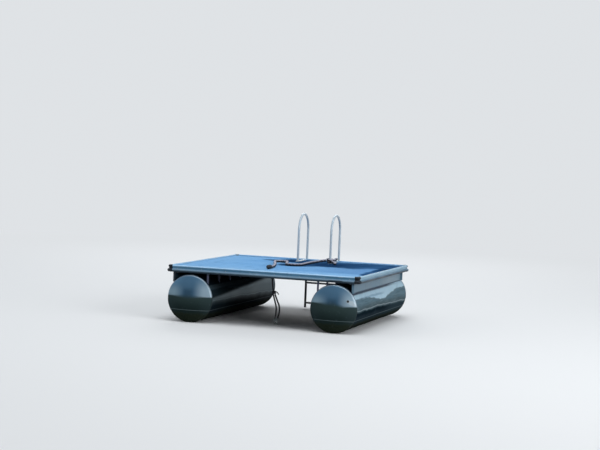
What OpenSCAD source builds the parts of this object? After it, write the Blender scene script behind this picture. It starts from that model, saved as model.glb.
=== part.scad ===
// Floating swim raft: a square deck with rub rails, carried on two round aluminium pontoons,
// with a boarding ladder at the rear edge and its lines.
// Millimetres. X runs to the right along the front edge, Y runs to the rear, Z is up.
// The origin is the middle of the plan at the level of the pontoons' undersides.

/* [Deck] */
// Width of the deck over the rub rails, side to side
deck_w = 2600; // [2400:10:3000]
// Depth of the deck over the rub rails, front to rear
deck_d = 2600; // [2400:10:3000]
// Height of a rub rail
rail_h = 89; // [80:1:110]
// Depth of a rub rail, from its inner face to its nose
rail_depth = 40; // [36:1:50]
// How far the deck surface lies below the top of the rails
deck_drop = 17; // [8:1:24]
// Thickness of the deck panels
panel_t = 18; // [12:1:24]
// Thickness of the deck covering
cover_t = 4; // [3:0.5:6]
// Number of deck panels, side by side
panel_count = 4; // [2:1:6]
// Number of cross joists, front to rear, and of the posts that stand under them
joist_count = 7; // [4:1:8]
// Width of a joist's flanges
joist_w = 40; // [30:1:60]
// Wall of a joist
joist_wall = 3; // [2:0.5:5]

/* [Pontoons] */
// Outer radius of a pontoon
pontoon_r = 305; // [280:1:330]
// How far a pontoon's tube stops short of the deck's front edge, and of its rear edge
pontoon_inset = 20; // [0:5:120]
// Distance between the two pontoons' axes
pontoon_spacing = 1934; // [1700:2:1960]
// Wall of a pontoon and its ends
pontoon_wall = 2.5; // [2:0.5:5]
// Radius of an end's crown
crown_r = 620; // [500:10:800]
// Radius of an end's knuckle, where it turns into the tube
knuckle_r = 30; // [15:1:60]
// Air gap between the top of a pontoon and the underside of the deck frame
pontoon_gap = 27; // [15:1:60]
// Distance of the air plug from the middle of its dished end
plug_reach = 227; // [120:1:250]
// Angle of the air plug above the level line through that middle
plug_lift = 30; // [0:1:60]

/* [Risers] */
// Distance of a riser's outer face, and of the posts' middle line, from the pontoon's axis
riser_offset = 225; // [180:1:250]
// Thickness of a riser's plate
riser_t = 4; // [3:0.5:6]
// Width of a riser's top flange
riser_flange = 40; // [25:1:60]
// Width of the upright flange at a riser's end
riser_return = 25; // [15:1:40]
// How far a riser stops short of the end of its pontoon's tube
riser_setback = 13; // [0:1:60]
// Width of an inner post's face
post_w = 26; // [20:1:40]
// Depth of an inner post, front to rear
post_d = 36; // [24:1:60]
// Reach of the knee at the top of an inner post
knee = 55; // [30:1:80]

/* [Ladder] */
// Place of the ladder's middle line, to the right of the raft's
ladder_x = 21; // [-200:1:200]
// Distance between the middles of the ladder's two side tubes
ladder_w = 474; // [400:2:560]
// Radius of a ladder tube
tube_r = 16; // [12:0.5:20]
// Wall of a ladder tube
tube_wall = 2; // [1.5:0.5:3]
// Radius of the hoop, to the middle of the tube
hoop_r = 218; // [150:1:260]
// Height of the hoop above the deck, to the top of the tube
hoop_h = 677; // [500:1:900]
// Clearance between the rear rub rail and the ladder's tubes
ladder_gap = 23; // [15:1:40]
// Height of the tubes' lower ends above the pontoons' undersides
ladder_foot_z = 22; // [10:1:120]
// Height of the lowest step
step_z = 100; // [60:1:160]
// Distance from one step to the next
step_pitch = 290; // [250:1:320]
// Depth of a step, front to rear
step_d = 64; // [50:1:90]
// Thickness of a step
step_t = 22; // [16:1:30]
// Number of grooves along a step's tread
step_grooves = 5; // [3:1:7]

/* [Lines] */
// Diameter of the heavy line on the deck
deck_line_d = 38; // [30:1:38]
// Diameter of the mooring line under the deck
mooring_line_d = 22; // [16:1:22]

/* [Hidden] */
$fn = 96;

aluminium = [0.62, 0.66, 0.70];
rail_grey = [0.45, 0.57, 0.66];
cover_blue = [0.45, 0.66, 0.85];
plywood = [0.55, 0.43, 0.30];
black = [0.05, 0.05, 0.06];

// Clearance where two pieces are welded or bolted together on a curved face
seat_gap = 0.2;
// Clearance round the edges of the panels and the covering
edge_gap = 1;

// Heights
axis_z = pontoon_r;
frame_z = 2 * pontoon_r + pontoon_gap;
rail_top = frame_z + rail_h;
deck_z = rail_top - deck_drop;
joist_h = rail_h - deck_drop - cover_t - panel_t;
panel_z = frame_z + joist_h;

// Plan
inner_w = deck_w - 2 * rail_depth;
inner_d = deck_d - 2 * rail_depth;
pontoon_l = deck_d - 2 * pontoon_inset;
dome_h = crown_r - sqrt(pow(crown_r - knuckle_r, 2) - pow(pontoon_r - knuckle_r, 2));
riser_l = pontoon_l - 2 * riser_setback;

// Height of a pontoon's surface at a distance from its axis
function pontoon_top(offset) = axis_z + sqrt(pow(pontoon_r, 2) - pow(offset, 2));

// Pontoon

module pontoon(side) {
    color(aluminium)
    translate([side * pontoon_spacing / 2, 0, axis_z])
    rotate([90, 0, 0])
    difference() {
        cylinder(r = pontoon_r, h = pontoon_l, center = true);
        cylinder(r = pontoon_r - pontoon_wall, h = pontoon_l + 2, center = true);
    }
}

// Outline of a dished end from its rim to its crown, inset from the outer face
crown_steps = 10;
knuckle_steps = 4;
knuckle_turn = asin((pontoon_r - knuckle_r) / (crown_r - knuckle_r));
function dish_outline(inset) = concat(
    [for (i = [0 : knuckle_steps]) let (a = i * (90 - knuckle_turn) / knuckle_steps)
        [pontoon_r - knuckle_r + (knuckle_r - inset) * cos(a), (knuckle_r - inset) * sin(a)]],
    [for (i = [1 : crown_steps]) let (a = knuckle_turn * (1 - i / crown_steps))
        [(crown_r - inset) * sin(a), dome_h - crown_r + (crown_r - inset) * cos(a)]]
);

function reversed(list) = [for (i = [len(list) - 1 : -1 : 0]) list[i]];

module dome(side, end) {
    color(aluminium)
    translate([side * pontoon_spacing / 2, end * pontoon_l / 2, axis_z])
    rotate([-90 * end, 0, 0])
    rotate_extrude()
    polygon(concat(dish_outline(0), reversed(dish_outline(pontoon_wall))));
}

// The plug sits on the crown of one front end, up and to the right, on a flat flange
plug_r = 11;
plug_h = 9;
plug_flange_r = 15.5;
plug_flange_h = 2.5;
module air_plug() {
    tilt = asin(plug_reach / crown_r);
    color(black)
    translate([pontoon_spacing / 2, -pontoon_l / 2 - dome_h + crown_r, axis_z])
    rotate([0, -plug_lift, 0])
    rotate([0, 0, tilt])
    rotate([90, 0, 0])
    translate([0, 0, crown_r + seat_gap]) {
        cylinder(r = plug_flange_r, h = plug_flange_h);
        cylinder(r = plug_r, h = plug_h);
    }
}

// Outer riser: a plate from the pontoon up to the deck frame, with a flange under the frame
// and an upright flange at each end. Outward is away from the pontoon's axis.

module outer_riser(side) {
    web_z = pontoon_top(riser_offset) + seat_gap;
    color(aluminium)
    translate([side * pontoon_spacing / 2, 0, 0])
    mirror([side < 0 ? 1 : 0, 0, 0])
    difference() {
        union() {
            translate([riser_offset - riser_t, -riser_l / 2, axis_z])
            cube([riser_t, riser_l, frame_z - axis_z]);
            translate([riser_offset - riser_flange, -riser_l / 2, frame_z - riser_t])
            cube([riser_flange, riser_l, riser_t]);
            for (end = [-1, 1])
                translate([riser_offset - riser_t, end * (riser_l - riser_t) / 2 - riser_t / 2, web_z])
                cube([riser_return + riser_t, riser_t, frame_z - web_z]);
        }
        translate([0, 0, axis_z])
        rotate([90, 0, 0])
        cylinder(r = pontoon_r + seat_gap, h = pontoon_l + 2, center = true);
        translate([0, -riser_l / 2 - 1, 0])
        cube([riser_offset + 1, riser_l + 2, axis_z + 1]);
    }
}

// Inner riser: a row of tee posts on the pontoon's inner side, one under each joist. A post has its
// face toward the nearer end of the raft, and all but the end ones have a knee toward the middle.

function joist_y(i) = -(inner_d - joist_w) / 2 + i * (inner_d - joist_w) / (joist_count - 1);

module post(y, with_knee) {
    face_y = y > 0 ? y + post_d / 2 - riser_t : y - post_d / 2;
    post_h = frame_z - axis_z;
    translate([riser_offset - riser_t / 2, y - post_d / 2, axis_z]) cube([riser_t, post_d, post_h]);
    translate([riser_offset - post_w / 2, face_y, axis_z]) cube([post_w, riser_t, post_h]);
    translate([riser_offset - post_w / 2, y - post_d / 2, frame_z - riser_t]) cube([post_w, post_d, riser_t]);
    if (with_knee)
        translate([riser_offset, face_y + riser_t, frame_z])
        rotate([90, 0, 0])
        linear_extrude(riser_t)
        difference() {
            translate([0, -knee]) square(knee);
            translate([knee, -knee]) circle(r = knee - riser_t);
        }
}

module inner_riser(side) {
    color(aluminium)
    translate([side * pontoon_spacing / 2, 0, 0])
    mirror([side > 0 ? 1 : 0, 0, 0])
    difference() {
        for (i = [0 : joist_count - 1])
            post(joist_y(i), i > 0 && i < joist_count - 1);
        translate([0, 0, axis_z])
        rotate([90, 0, 0])
        cylinder(r = pontoon_r + seat_gap, h = pontoon_l + 2, center = true);
    }
}

// Joist: a channel open to one side, from side rail to side rail

module joist(y, open) {
    color(aluminium)
    translate([0, y, frame_z])
    rotate([0, 0, open > 0 ? 0 : 180])
    rotate([90, 0, 90])
    linear_extrude(inner_w, center = true)
    difference() {
        translate([-joist_w / 2, 0]) square([joist_w, joist_h]);
        translate([-joist_w / 2 + joist_wall, joist_wall]) square([joist_w, joist_h - 2 * joist_wall]);
    }
}

module joists_middle() {
    for (i = [1 : joist_count - 2]) joist(joist_y(i), 1);
}

// Deck

// One layer of the deck: a strip for each panel, side by side, from front to rear
module deck_layer(z, thickness) {
    pitch = inner_w / panel_count;
    for (i = [0 : panel_count - 1])
        translate([-inner_w / 2 + i * pitch + edge_gap, -inner_d / 2 + edge_gap, z])
        cube([pitch - 2 * edge_gap, inner_d - 2 * edge_gap, thickness]);
}

module deck_panels() {
    color(plywood) deck_layer(panel_z, panel_t);
}

// The covering is glued down panel by panel, so its seams lie over the panels' joints
module deck_covering() {
    color(cover_blue) deck_layer(panel_z + panel_t, cover_t);
}

// Rub rail: a hollow section with a bead along its top, a groove below the bead
// and a round nose. Its inner face is at zero and it reaches outward along X.

nose_r = 19;
// How far the round nose lies above the underside of the rail
nose_lift = 3;
nose_z = nose_lift + nose_r;
bead_r = 15;
// How far the bead stops short of the nose
bead_set_back = 13;
bead_reach = rail_depth - bead_set_back;
groove_depth = 20;
rail_wall = 2.5;

nose_x = rail_depth - nose_r;
bead_x = bead_reach - bead_r;
bead_z = rail_h - bead_r;
groove_x = rail_depth - groove_depth;

// A half-round shape: a block from the inner side with a half disc on its end
module half_round(inset, x, z, r) {
    translate([inset, z - r]) square([x - inset, 2 * r]);
    translate([x, z])
    intersection() {
        circle(r = r);
        translate([0, -r]) square([r, 2 * r]);
    }
}

module rail_section() {
    difference() {
        union() {
            square([groove_x, rail_h]);
            half_round(0, nose_x, nose_z, nose_r);
            half_round(0, bead_x, bead_z, bead_r);
        }
        half_round(rail_wall, nose_x, nose_z, nose_r - rail_wall);
        half_round(rail_wall, bead_x, bead_z, bead_r - rail_wall);
    }
}

// The same outline, closed and grown, for the caps that slip over the rails' ends
arc_steps = 8;
function arc_up(x, z, r, start) = [for (i = [0 : arc_steps]) let (a = start + (90 - start) * i / arc_steps)
    [x + r * cos(a), z + r * sin(a)]];
// The angle at which the bead's round leaves the groove's wall
function bead_start(r) = -acos(min(1, (groove_x - bead_x) / r));
function grown_outline(grow) = concat(
    [[0, 0]],
    arc_up(nose_x, nose_z, nose_r + grow, -90),
    [[groove_x, nose_z + nose_r + grow]],
    arc_up(bead_x, bead_z, bead_r + grow, bead_start(bead_r + grow)),
    [[0, rail_h + grow]]
);

// A rail lies along one side of a rectangle whose half-depth it is given
cap_sleeve = 35;
module rail(half, length, turn) {
    color(rail_grey)
    rotate([0, 0, turn])
    translate([half, 0, frame_z])
    rotate([90, 0, 0])
    linear_extrude(length - 2 * cap_sleeve, center = true)
    rail_section();
}

// Corner cap: the rail's outline swept round the corner, with a sleeve on each rail's end

cap_grow = 1.5;
rib_grow = 3.5;
rib_w = 9;
module corner_cap(x_side, y_side) {
    color(black)
    translate([x_side * inner_w / 2, y_side * inner_d / 2, frame_z])
    rotate([0, 0, x_side > 0 ? (y_side > 0 ? 0 : -90) : (y_side > 0 ? 90 : 180)]) {
        rotate_extrude(angle = 90, $fn = 48) polygon(grown_outline(cap_grow));
        cap_sleeve_pair(cap_grow, 0, cap_sleeve);
        cap_sleeve_pair(rib_grow, 2, rib_w);
        cap_sleeve_pair(rib_grow, cap_sleeve - rib_w - 2, rib_w);
    }
}

module cap_sleeve_pair(grow, start, length) {
    translate([0, -start, 0])
    rotate([90, 0, 0])
    linear_extrude(length) polygon(grown_outline(grow));
    translate([-start - length, 0, 0])
    rotate([90, 0, 90])
    linear_extrude(length) polygon(grown_outline(grow));
}

// Ladder: each side tube rises from the deck, turns over in a half circle
// and runs down behind the rear rail

far_y = deck_d / 2 + ladder_gap + tube_r;
near_y = far_y - 2 * hoop_r;
hoop_z = deck_z + hoop_h - tube_r - hoop_r;
base_t = 6;
base_w = 46;
ladder_foot = deck_z + base_t;

function ladder_side_x(side) = ladder_x + side * ladder_w / 2;

module ladder_tube_body(r, past) {
    translate([0, near_y, ladder_foot - past])
    cylinder(r = r, h = hoop_z - ladder_foot + past);
    translate([0, far_y, ladder_foot_z - past])
    cylinder(r = r, h = hoop_z - ladder_foot_z + past);
    translate([0, near_y + hoop_r, hoop_z])
    rotate([90, 0, 90])
    rotate_extrude(angle = 180)
    translate([hoop_r, 0]) circle(r = r);
}

module ladder_tube(side) {
    color(aluminium)
    translate([ladder_side_x(side), 0, 0])
    difference() {
        ladder_tube_body(tube_r, 0);
        ladder_tube_body(tube_r - tube_wall, 1);
    }
}

groove_w = 4;
groove_t = 2;
module ladder_step(z) {
    color(aluminium)
    difference() {
        translate([ladder_x - ladder_w / 2, far_y - step_d / 2, z - step_t])
        cube([ladder_w, step_d, step_t]);
        for (i = [1 : step_grooves])
            translate([ladder_x - ladder_w / 2 - 1, far_y - step_d / 2 + i * step_d / (step_grooves + 1)
                - groove_w / 2, z - groove_t])
            cube([ladder_w + 2, groove_w, groove_t + 1]);
        for (side = [-1, 1])
            translate([ladder_side_x(side), far_y, z - step_t - 1])
            cylinder(r = tube_r + seat_gap, h = step_t + 2);
    }
}

// Base bar: lies on the deck from the near foot to the rear rail
base_overhang = 30;
module ladder_base(side) {
    color(aluminium)
    translate([ladder_side_x(side) - base_w / 2, near_y - base_overhang, deck_z])
    cube([base_w, inner_d / 2 - near_y + base_overhang - edge_gap, base_t]);
}

// Clamp: a collar round the far tube with a neck that bears on the rail's nose
clamp_r = tube_r + 8;
clamp_h = 38;
clamp_neck = 26;
module ladder_clamp(side) {
    color(aluminium)
    difference() {
        translate([ladder_side_x(side), far_y, frame_z + nose_z - clamp_h / 2])
        union() {
            cylinder(r = clamp_r, h = clamp_h);
            translate([-clamp_neck / 2, -far_y + deck_d / 2 - nose_r, 0])
            cube([clamp_neck, far_y - deck_d / 2 + nose_r, clamp_h]);
        }
        translate([ladder_side_x(side), far_y, 0])
        cylinder(r = tube_r + seat_gap, h = rail_top + rail_h);
        translate([ladder_side_x(side), deck_d / 2 - nose_r, frame_z + nose_z])
        rotate([0, 90, 0])
        cylinder(r = nose_r + seat_gap, h = base_w, center = true);
    }
}

// Lines: each is a tube with a ring of points at each stop along a smooth route

cord_sides = 8;
cord_step = 2.5;

function unit(v) = v / norm(v);

// Point on a smooth curve through four neighbouring route points
function spline_point(p0, p1, p2, p3, t) =
    0.5 * (2 * p1 + (p2 - p0) * t + (2 * p0 - 5 * p1 + 4 * p2 - p3) * t * t
        + (3 * p1 - p0 - 3 * p2 + p3) * t * t * t);

function route_point(route, i) = route[max(0, min(len(route) - 1, i))];

function smooth_route(route, spacing) = concat(
    [for (i = [0 : len(route) - 2])
        let (steps = max(1, round(norm(route[i + 1] - route[i]) / spacing)))
        for (k = [0 : steps - 1])
            spline_point(route_point(route, i - 1), route[i], route[i + 1],
                route_point(route, i + 2), k / steps)],
    [route[len(route) - 1]]
);

// A frame is carried from ring to ring, so that the tube does not twist
function carry(side, along) = unit(side - (side * along) * along);

function ring_frames(stops, i, side) =
    let (along = unit(stops[min(i + 1, len(stops) - 1)] - stops[max(i - 1, 0)]),
        next = carry(side, along))
    i == len(stops) - 1 ? [[next, cross(along, next)]]
        : concat([[next, cross(along, next)]], ring_frames(stops, i + 1, next));

module cord_tube(route, diameter, first_side) {
    stops = smooth_route(route, cord_step * diameter);
    frames = ring_frames(stops, 0, first_side);
    rings = len(stops);
    points = [for (i = [0 : rings - 1]) for (k = [0 : cord_sides - 1])
        let (a = 360 * k / cord_sides)
        stops[i] + diameter / 2 * (cos(a) * frames[i][0] + sin(a) * frames[i][1])];
    walls = [for (i = [0 : rings - 2]) for (k = [0 : cord_sides - 1])
        let (a = i * cord_sides + k, b = i * cord_sides + (k + 1) % cord_sides)
        for (face = [[a, b, b + cord_sides], [a, b + cord_sides, a + cord_sides]]) face];
    start_cap = [[for (k = [cord_sides - 1 : -1 : 0]) k]];
    end_cap = [[for (k = [0 : cord_sides - 1]) (rings - 1) * cord_sides + k]];
    polyhedron(points, [for (f = concat(walls, start_cap, end_cap)) reversed(f)]);
}

// The heavy line lies on the deck: from its knot on the ladder's near right foot it runs forward,
// turns to the left and back, and comes forward again to its end near the front
deck_line_route = [
    [207, 888, 750], [166, 872, 744], [129, 842, 737], [104, 802, 731], [91, 756, 728], [85, 700, 728],
    [81, 620, 728], [80, 530, 728], [81, 430, 728], [84, 320, 728], [86, 210, 728], [86, 120, 728],
    [69, 63, 728], [24, 24, 728], [-35, 16, 728], [-89, 42, 728], [-120, 92, 728], [-142, 170, 728],
    [-163, 250, 728], [-184, 318, 728], [-207, 394, 728], [-221, 439, 728], [-237, 468, 728],
    [-263, 488, 728], [-295, 497, 728], [-328, 493, 728], [-357, 477, 728], [-377, 451, 728],
    [-386, 419, 728], [-382, 386, 728], [-368, 343, 728], [-347, 279, 728], [-320, 190, 728],
    [-286, 95, 728], [-252, 0, 728], [-207, -140, 728], [-168, -280, 728], [-134, -420, 728],
    [-112, -540, 728], [-104, -646, 728]
];

// The knot's two tails, one on the deck and one on the base bar and the rear rail
tail_front_route = [
    [296, 866, 738], [334, 832, 730], [362, 780, 728], [384, 718, 728], [401, 658, 728], [415, 600, 728]
];

tail_rear_route = [
    [254, 956, 756], [250, 1010, 746], [247, 1075, 736], [243, 1150, 736], [240, 1220, 743], [238, 1300, 748]
];

mooring_line_route = [
    [-8, -827, 591], [-6, -827, 550], [-1, -827, 510], [5, -827, 472], [10, -827, 442]
];

mooring_loop_route = [
    [12, -827, 394], [24, -827, 350], [40, -827, 300], [54, -827, 250], [60, -827, 200],
    [56, -827, 130], [48, -827, 66]
];

mooring_return_route = [
    [36, -827, 394], [56, -827, 345], [78, -827, 295], [98, -827, 250], [106, -827, 200],
    [98, -827, 130], [76, -827, 66]
];

module deck_line() {
    color(black) cord_tube(deck_line_route, deck_line_d, [0, 0, 1]);
}

module deck_line_tail(route) {
    color(black) cord_tube(route, deck_line_d, [0, 0, 1]);
}

// Blunt end of the heavy line
line_end_l = 140;
line_end_r = 27;
module deck_line_end() {
    last = deck_line_route[len(deck_line_route) - 1];
    before = deck_line_route[len(deck_line_route) - 2];
    heading = atan2(last.y - before.y, last.x - before.x);
    color(black)
    translate([last.x, last.y, deck_z + line_end_r])
    rotate([0, 0, heading])
    rotate([0, 90, 0])
    cylinder(r = line_end_r, h = line_end_l);
}

// Knot of the heavy line round the near foot of the ladder's right tube, on its base bar
knot_r = 52;
knot_h = 68;
module deck_line_knot() {
    color(black)
    translate([ladder_side_x(1), near_y, ladder_foot + seat_gap])
    difference() {
        cylinder(r = knot_r, h = knot_h);
        translate([0, 0, -1]) cylinder(r = tube_r + seat_gap, h = knot_h + 2);
    }
}

// Mooring eye: a drilled lug under the second joist
lug_w = 50;
lug_h = 46;
lug_t = 10;
lug_hole_r = 11;
lug_hole_z = 21;
eye_x = -8;
module mooring_eye() {
    color(aluminium)
    translate([eye_x, joist_y(1), frame_z - lug_h])
    difference() {
        translate([-lug_w / 2, -lug_t / 2, 0]) cube([lug_w, lug_t, lug_h]);
        translate([0, 0, lug_hole_z])
        rotate([90, 0, 0])
        cylinder(r = lug_hole_r, h = lug_t + 2, center = true);
    }
}

module mooring_line() {
    color(black) cord_tube(mooring_line_route, mooring_line_d, [1, 0, 0]);
}

mooring_knot_r = 30;
// The knot sits over the middle of the two strands that leave it
module mooring_knot() {
    hung_from = mooring_line_route[len(mooring_line_route) - 1];
    strand = mooring_loop_route[0];
    return_strand = mooring_return_route[0];
    color(black)
    translate([(strand.x + return_strand.x) / 2, strand.y, strand.z])
    cylinder(r = mooring_knot_r, h = hung_from.z - strand.z);
}

module mooring_loop() {
    color(black) {
        cord_tube(mooring_loop_route, mooring_line_d, [1, 0, 0]);
        cord_tube(mooring_return_route, mooring_line_d, [1, 0, 0]);
    }
}

// Link at the foot of the mooring line, where the anchor's chain goes
link_w = 60;
link_t = 16;
link_hole_r = 12;
link_hole_z = 30;
module mooring_link() {
    strand = mooring_loop_route[len(mooring_loop_route) - 1];
    return_strand = mooring_return_route[len(mooring_return_route) - 1];
    middle = (strand + return_strand) / 2;
    color(aluminium)
    translate([middle.x, middle.y, 0])
    difference() {
        translate([-link_w / 2, -link_t / 2, 0]) cube([link_w, link_t, middle.z]);
        translate([0, 0, link_hole_z])
        rotate([90, 0, 0])
        cylinder(r = link_hole_r, h = link_t + 2, center = true);
    }
}

pontoon(-1);  // pontoon_left
pontoon(1);  // pontoon_right
dome(-1, -1);  // dome_front_left
dome(1, -1);  // dome_front_right
dome(-1, 1);  // dome_rear_left
dome(1, 1);  // dome_rear_right
air_plug();
outer_riser(-1);  // riser_left_outer
inner_riser(-1);  // riser_left_inner
inner_riser(1);  // riser_right_inner
outer_riser(1);  // riser_right_outer
joist(joist_y(0), 1);  // joist_front
joists_middle();
joist(joist_y(joist_count - 1), -1);  // joist_rear
deck_panels();
deck_covering();
rail(inner_d / 2, inner_w, -90);  // rail_front
rail(inner_d / 2, inner_w, 90);  // rail_rear
rail(inner_w / 2, inner_d, 180);  // rail_left
rail(inner_w / 2, inner_d, 0);  // rail_right
corner_cap(-1, -1);  // corner_cap_front_left
corner_cap(1, -1);  // corner_cap_front_right
corner_cap(-1, 1);  // corner_cap_rear_left
corner_cap(1, 1);  // corner_cap_rear_right
ladder_tube(-1);  // ladder_tube_left
ladder_tube(1);  // ladder_tube_right
ladder_step(step_z + step_pitch);  // ladder_step_upper
ladder_step(step_z);  // ladder_step_lower
ladder_base(-1);  // ladder_base_left
ladder_base(1);  // ladder_base_right
ladder_clamp(-1);  // ladder_clamp_left
ladder_clamp(1);  // ladder_clamp_right
mooring_eye();
mooring_line();
mooring_knot();
mooring_loop();
mooring_link();
deck_line();
deck_line_end();
deck_line_knot();
deck_line_tail(tail_front_route);  // deck_line_tail_front
deck_line_tail(tail_rear_route);  // deck_line_tail_rear
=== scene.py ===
import math

import bpy
from mathutils import Matrix, Vector, noise

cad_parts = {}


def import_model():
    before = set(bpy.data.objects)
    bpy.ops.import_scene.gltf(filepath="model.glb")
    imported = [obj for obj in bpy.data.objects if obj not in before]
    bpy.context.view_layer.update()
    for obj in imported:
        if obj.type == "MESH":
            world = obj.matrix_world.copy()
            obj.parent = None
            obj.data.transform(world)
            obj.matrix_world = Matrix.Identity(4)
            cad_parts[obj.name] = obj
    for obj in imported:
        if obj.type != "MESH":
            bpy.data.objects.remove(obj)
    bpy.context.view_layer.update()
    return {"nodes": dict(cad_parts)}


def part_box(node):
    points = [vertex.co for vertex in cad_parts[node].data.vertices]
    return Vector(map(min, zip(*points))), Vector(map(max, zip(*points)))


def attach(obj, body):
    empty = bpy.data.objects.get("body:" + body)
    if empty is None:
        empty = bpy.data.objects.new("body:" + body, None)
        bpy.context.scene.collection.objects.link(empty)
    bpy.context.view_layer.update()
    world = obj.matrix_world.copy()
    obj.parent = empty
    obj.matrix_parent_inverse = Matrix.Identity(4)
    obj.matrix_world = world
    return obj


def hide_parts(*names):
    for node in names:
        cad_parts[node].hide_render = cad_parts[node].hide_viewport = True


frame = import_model()

# Sizes read from the frame, in metres

deck_low, deck_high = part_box("deck_covering")
DECK_Z = deck_high.z
tube_low, tube_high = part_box("pontoon_right")
TUBE_R = (tube_high.z - tube_low.z) / 2
TUBE_HALF = tube_high.y
TUBE_X = (tube_low.x + tube_high.x) / 2
AXIS_Z = (tube_low.z + tube_high.z) / 2
rail_low, rail_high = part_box("rail_front")
RAIL_Z = rail_low.z
RAIL_H = rail_high.z - rail_low.z
RAIL_DEPTH = rail_high.y - rail_low.y
RAIL_FACE = -rail_high.y
RAIL_HALF = rail_high.x
hoop_low, hoop_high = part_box("ladder_tube_left")
LADDER_R = (hoop_high.x - hoop_low.x) / 2
LADDER_X = {side: sum(c.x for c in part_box("ladder_tube_" + side)) / 2 for side in ("left", "right")}
HOOP_R = (hoop_high.y - hoop_low.y) / 2 - LADDER_R
NEAR_Y = hoop_low.y + LADDER_R
FAR_Y = hoop_high.y - LADDER_R
HOOP_Z = hoop_high.z - LADDER_R - HOOP_R
LADDER_FOOT_Z = hoop_low.z
JOIST_FRONT = sum(c.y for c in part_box("joist_front")) / 2
JOIST_REAR = sum(c.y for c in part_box("joist_rear")) / 2
FRAME_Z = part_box("joist_front")[0].z

# Counts, and sizes in metres, that the frame doesn't give. They are the same as in the CAD source.

JOIST_COUNT = 7
PANEL_COUNT = 4
RISER_T = 0.004
RISER_FLANGE = 0.04
POST_W = 0.026
POST_D = 0.036
CROWN_R = 0.62
KNUCKLE_R = 0.03
DISH_T = 0.0025
NOSE_R = 0.019
NOSE_Z = 0.022
BEAD_R = 0.015
BEAD_BACK = 0.013
GROOVE_DEPTH = 0.02
STEP_GROOVES = 5
STEP_GROOVE_W = 0.004
STEP_GROOVE_T = 0.002

# How far from its pontoon's axis a riser stands, in metres
RISER_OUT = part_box("riser_right_outer")[0].x + RISER_FLANGE - TUBE_X

# The lines' routes, the same points as in the CAD source, in metres

DECK_LINE_D = 0.038
DECK_LINE = [
    (0.207, 0.888, 0.75), (0.166, 0.872, 0.744), (0.129, 0.842, 0.737), (0.104, 0.802, 0.731),
    (0.091, 0.756, 0.728), (0.085, 0.7, 0.728), (0.081, 0.62, 0.728), (0.08, 0.53, 0.728),
    (0.081, 0.43, 0.728), (0.084, 0.32, 0.728), (0.086, 0.21, 0.728), (0.086, 0.12, 0.728),
    (0.069, 0.063, 0.728), (0.024, 0.024, 0.728), (-0.035, 0.016, 0.728), (-0.089, 0.042, 0.728),
    (-0.12, 0.092, 0.728), (-0.142, 0.17, 0.728), (-0.163, 0.25, 0.728), (-0.184, 0.318, 0.728),
    (-0.207, 0.394, 0.728), (-0.221, 0.439, 0.728), (-0.237, 0.468, 0.728), (-0.263, 0.488, 0.728),
    (-0.295, 0.497, 0.728), (-0.328, 0.493, 0.728), (-0.357, 0.477, 0.728), (-0.377, 0.451, 0.728),
    (-0.386, 0.419, 0.728), (-0.382, 0.386, 0.728), (-0.368, 0.343, 0.728), (-0.347, 0.279, 0.728),
    (-0.32, 0.19, 0.728), (-0.286, 0.095, 0.728), (-0.252, 0, 0.728), (-0.207, -0.14, 0.728),
    (-0.168, -0.28, 0.728), (-0.134, -0.42, 0.728), (-0.112, -0.54, 0.728), (-0.104, -0.646, 0.728),
]
TAIL_FRONT = [
    (0.296, 0.866, 0.738), (0.334, 0.832, 0.73), (0.362, 0.78, 0.728), (0.384, 0.718, 0.728),
    (0.401, 0.658, 0.728), (0.415, 0.6, 0.728),
]
TAIL_REAR = [
    (0.254, 0.956, 0.756), (0.25, 1.01, 0.746), (0.247, 1.075, 0.736), (0.243, 1.15, 0.736),
    (0.24, 1.22, 0.743), (0.238, 1.3, 0.748),
]
MOORING_D = 0.022
MOORING_LINE = [
    (-0.008, -0.827, 0.591), (-0.006, -0.827, 0.55), (-0.001, -0.827, 0.51),
    (0.005, -0.827, 0.472), (0.01, -0.827, 0.442),
]
MOORING_STRAND = [
    (0.012, -0.827, 0.394), (0.024, -0.827, 0.35), (0.04, -0.827, 0.3), (0.054, -0.827, 0.25),
    (0.06, -0.827, 0.2), (0.056, -0.827, 0.13), (0.048, -0.827, 0.066),
]
MOORING_RETURN = [
    (0.036, -0.827, 0.394), (0.056, -0.827, 0.345), (0.078, -0.827, 0.295), (0.098, -0.827, 0.25),
    (0.106, -0.827, 0.2), (0.098, -0.827, 0.13), (0.076, -0.827, 0.066),
]

# Materials


def tone(red, green, blue):
    """A colour written as a screen shows it, from 0 to 255, in the linear values that shaders take."""
    linear = [
        c / 255 / 12.92 if c < 10.31 else ((c / 255 + 0.055) / 1.055) ** 2.4
        for c in (red, green, blue)
    ]
    return (*linear, 1.0)


class Tree:
    """The nodes of a material or of the world."""

    def __init__(self, owner):
        owner.use_nodes = True
        self.nodes = owner.node_tree.nodes
        self.links = owner.node_tree.links

    def add(self, kind, inputs, **settings):
        made = self.nodes.new("ShaderNode" + kind)
        for key, value in settings.items():
            setattr(made, key, value)
        for key, value in inputs.items():
            self.feed(made.inputs[key], value)
        return made

    def feed(self, socket, value):
        if isinstance(value, bpy.types.NodeSocket):
            self.links.new(value, socket)
        else:
            socket.default_value = value

    def math(self, operation, first, second=0.0):
        return self.add("Math", {0: first, 1: second}, operation=operation).outputs[0]

    def larger(self, first, second):
        return self.math("MAXIMUM", first, second)

    def seen(self):
        """1 for the rays that see the background: from the camera, and by way of gloss and glass."""
        ray = self.add("LightPath", {}).outputs
        bounced = self.larger(ray["Is Glossy Ray"], ray["Is Transmission Ray"])
        return self.larger(ray["Is Camera Ray"], bounced)

    def show(self, share, first, second, output):
        """Sends the first shader to the named output where share is 0, and the second where it is 1."""
        both = self.add("MixShader", {0: share, 1: first.outputs[0], 2: second.outputs[0]})
        self.feed(self.nodes[output].inputs["Surface"], both.outputs[0])


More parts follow.
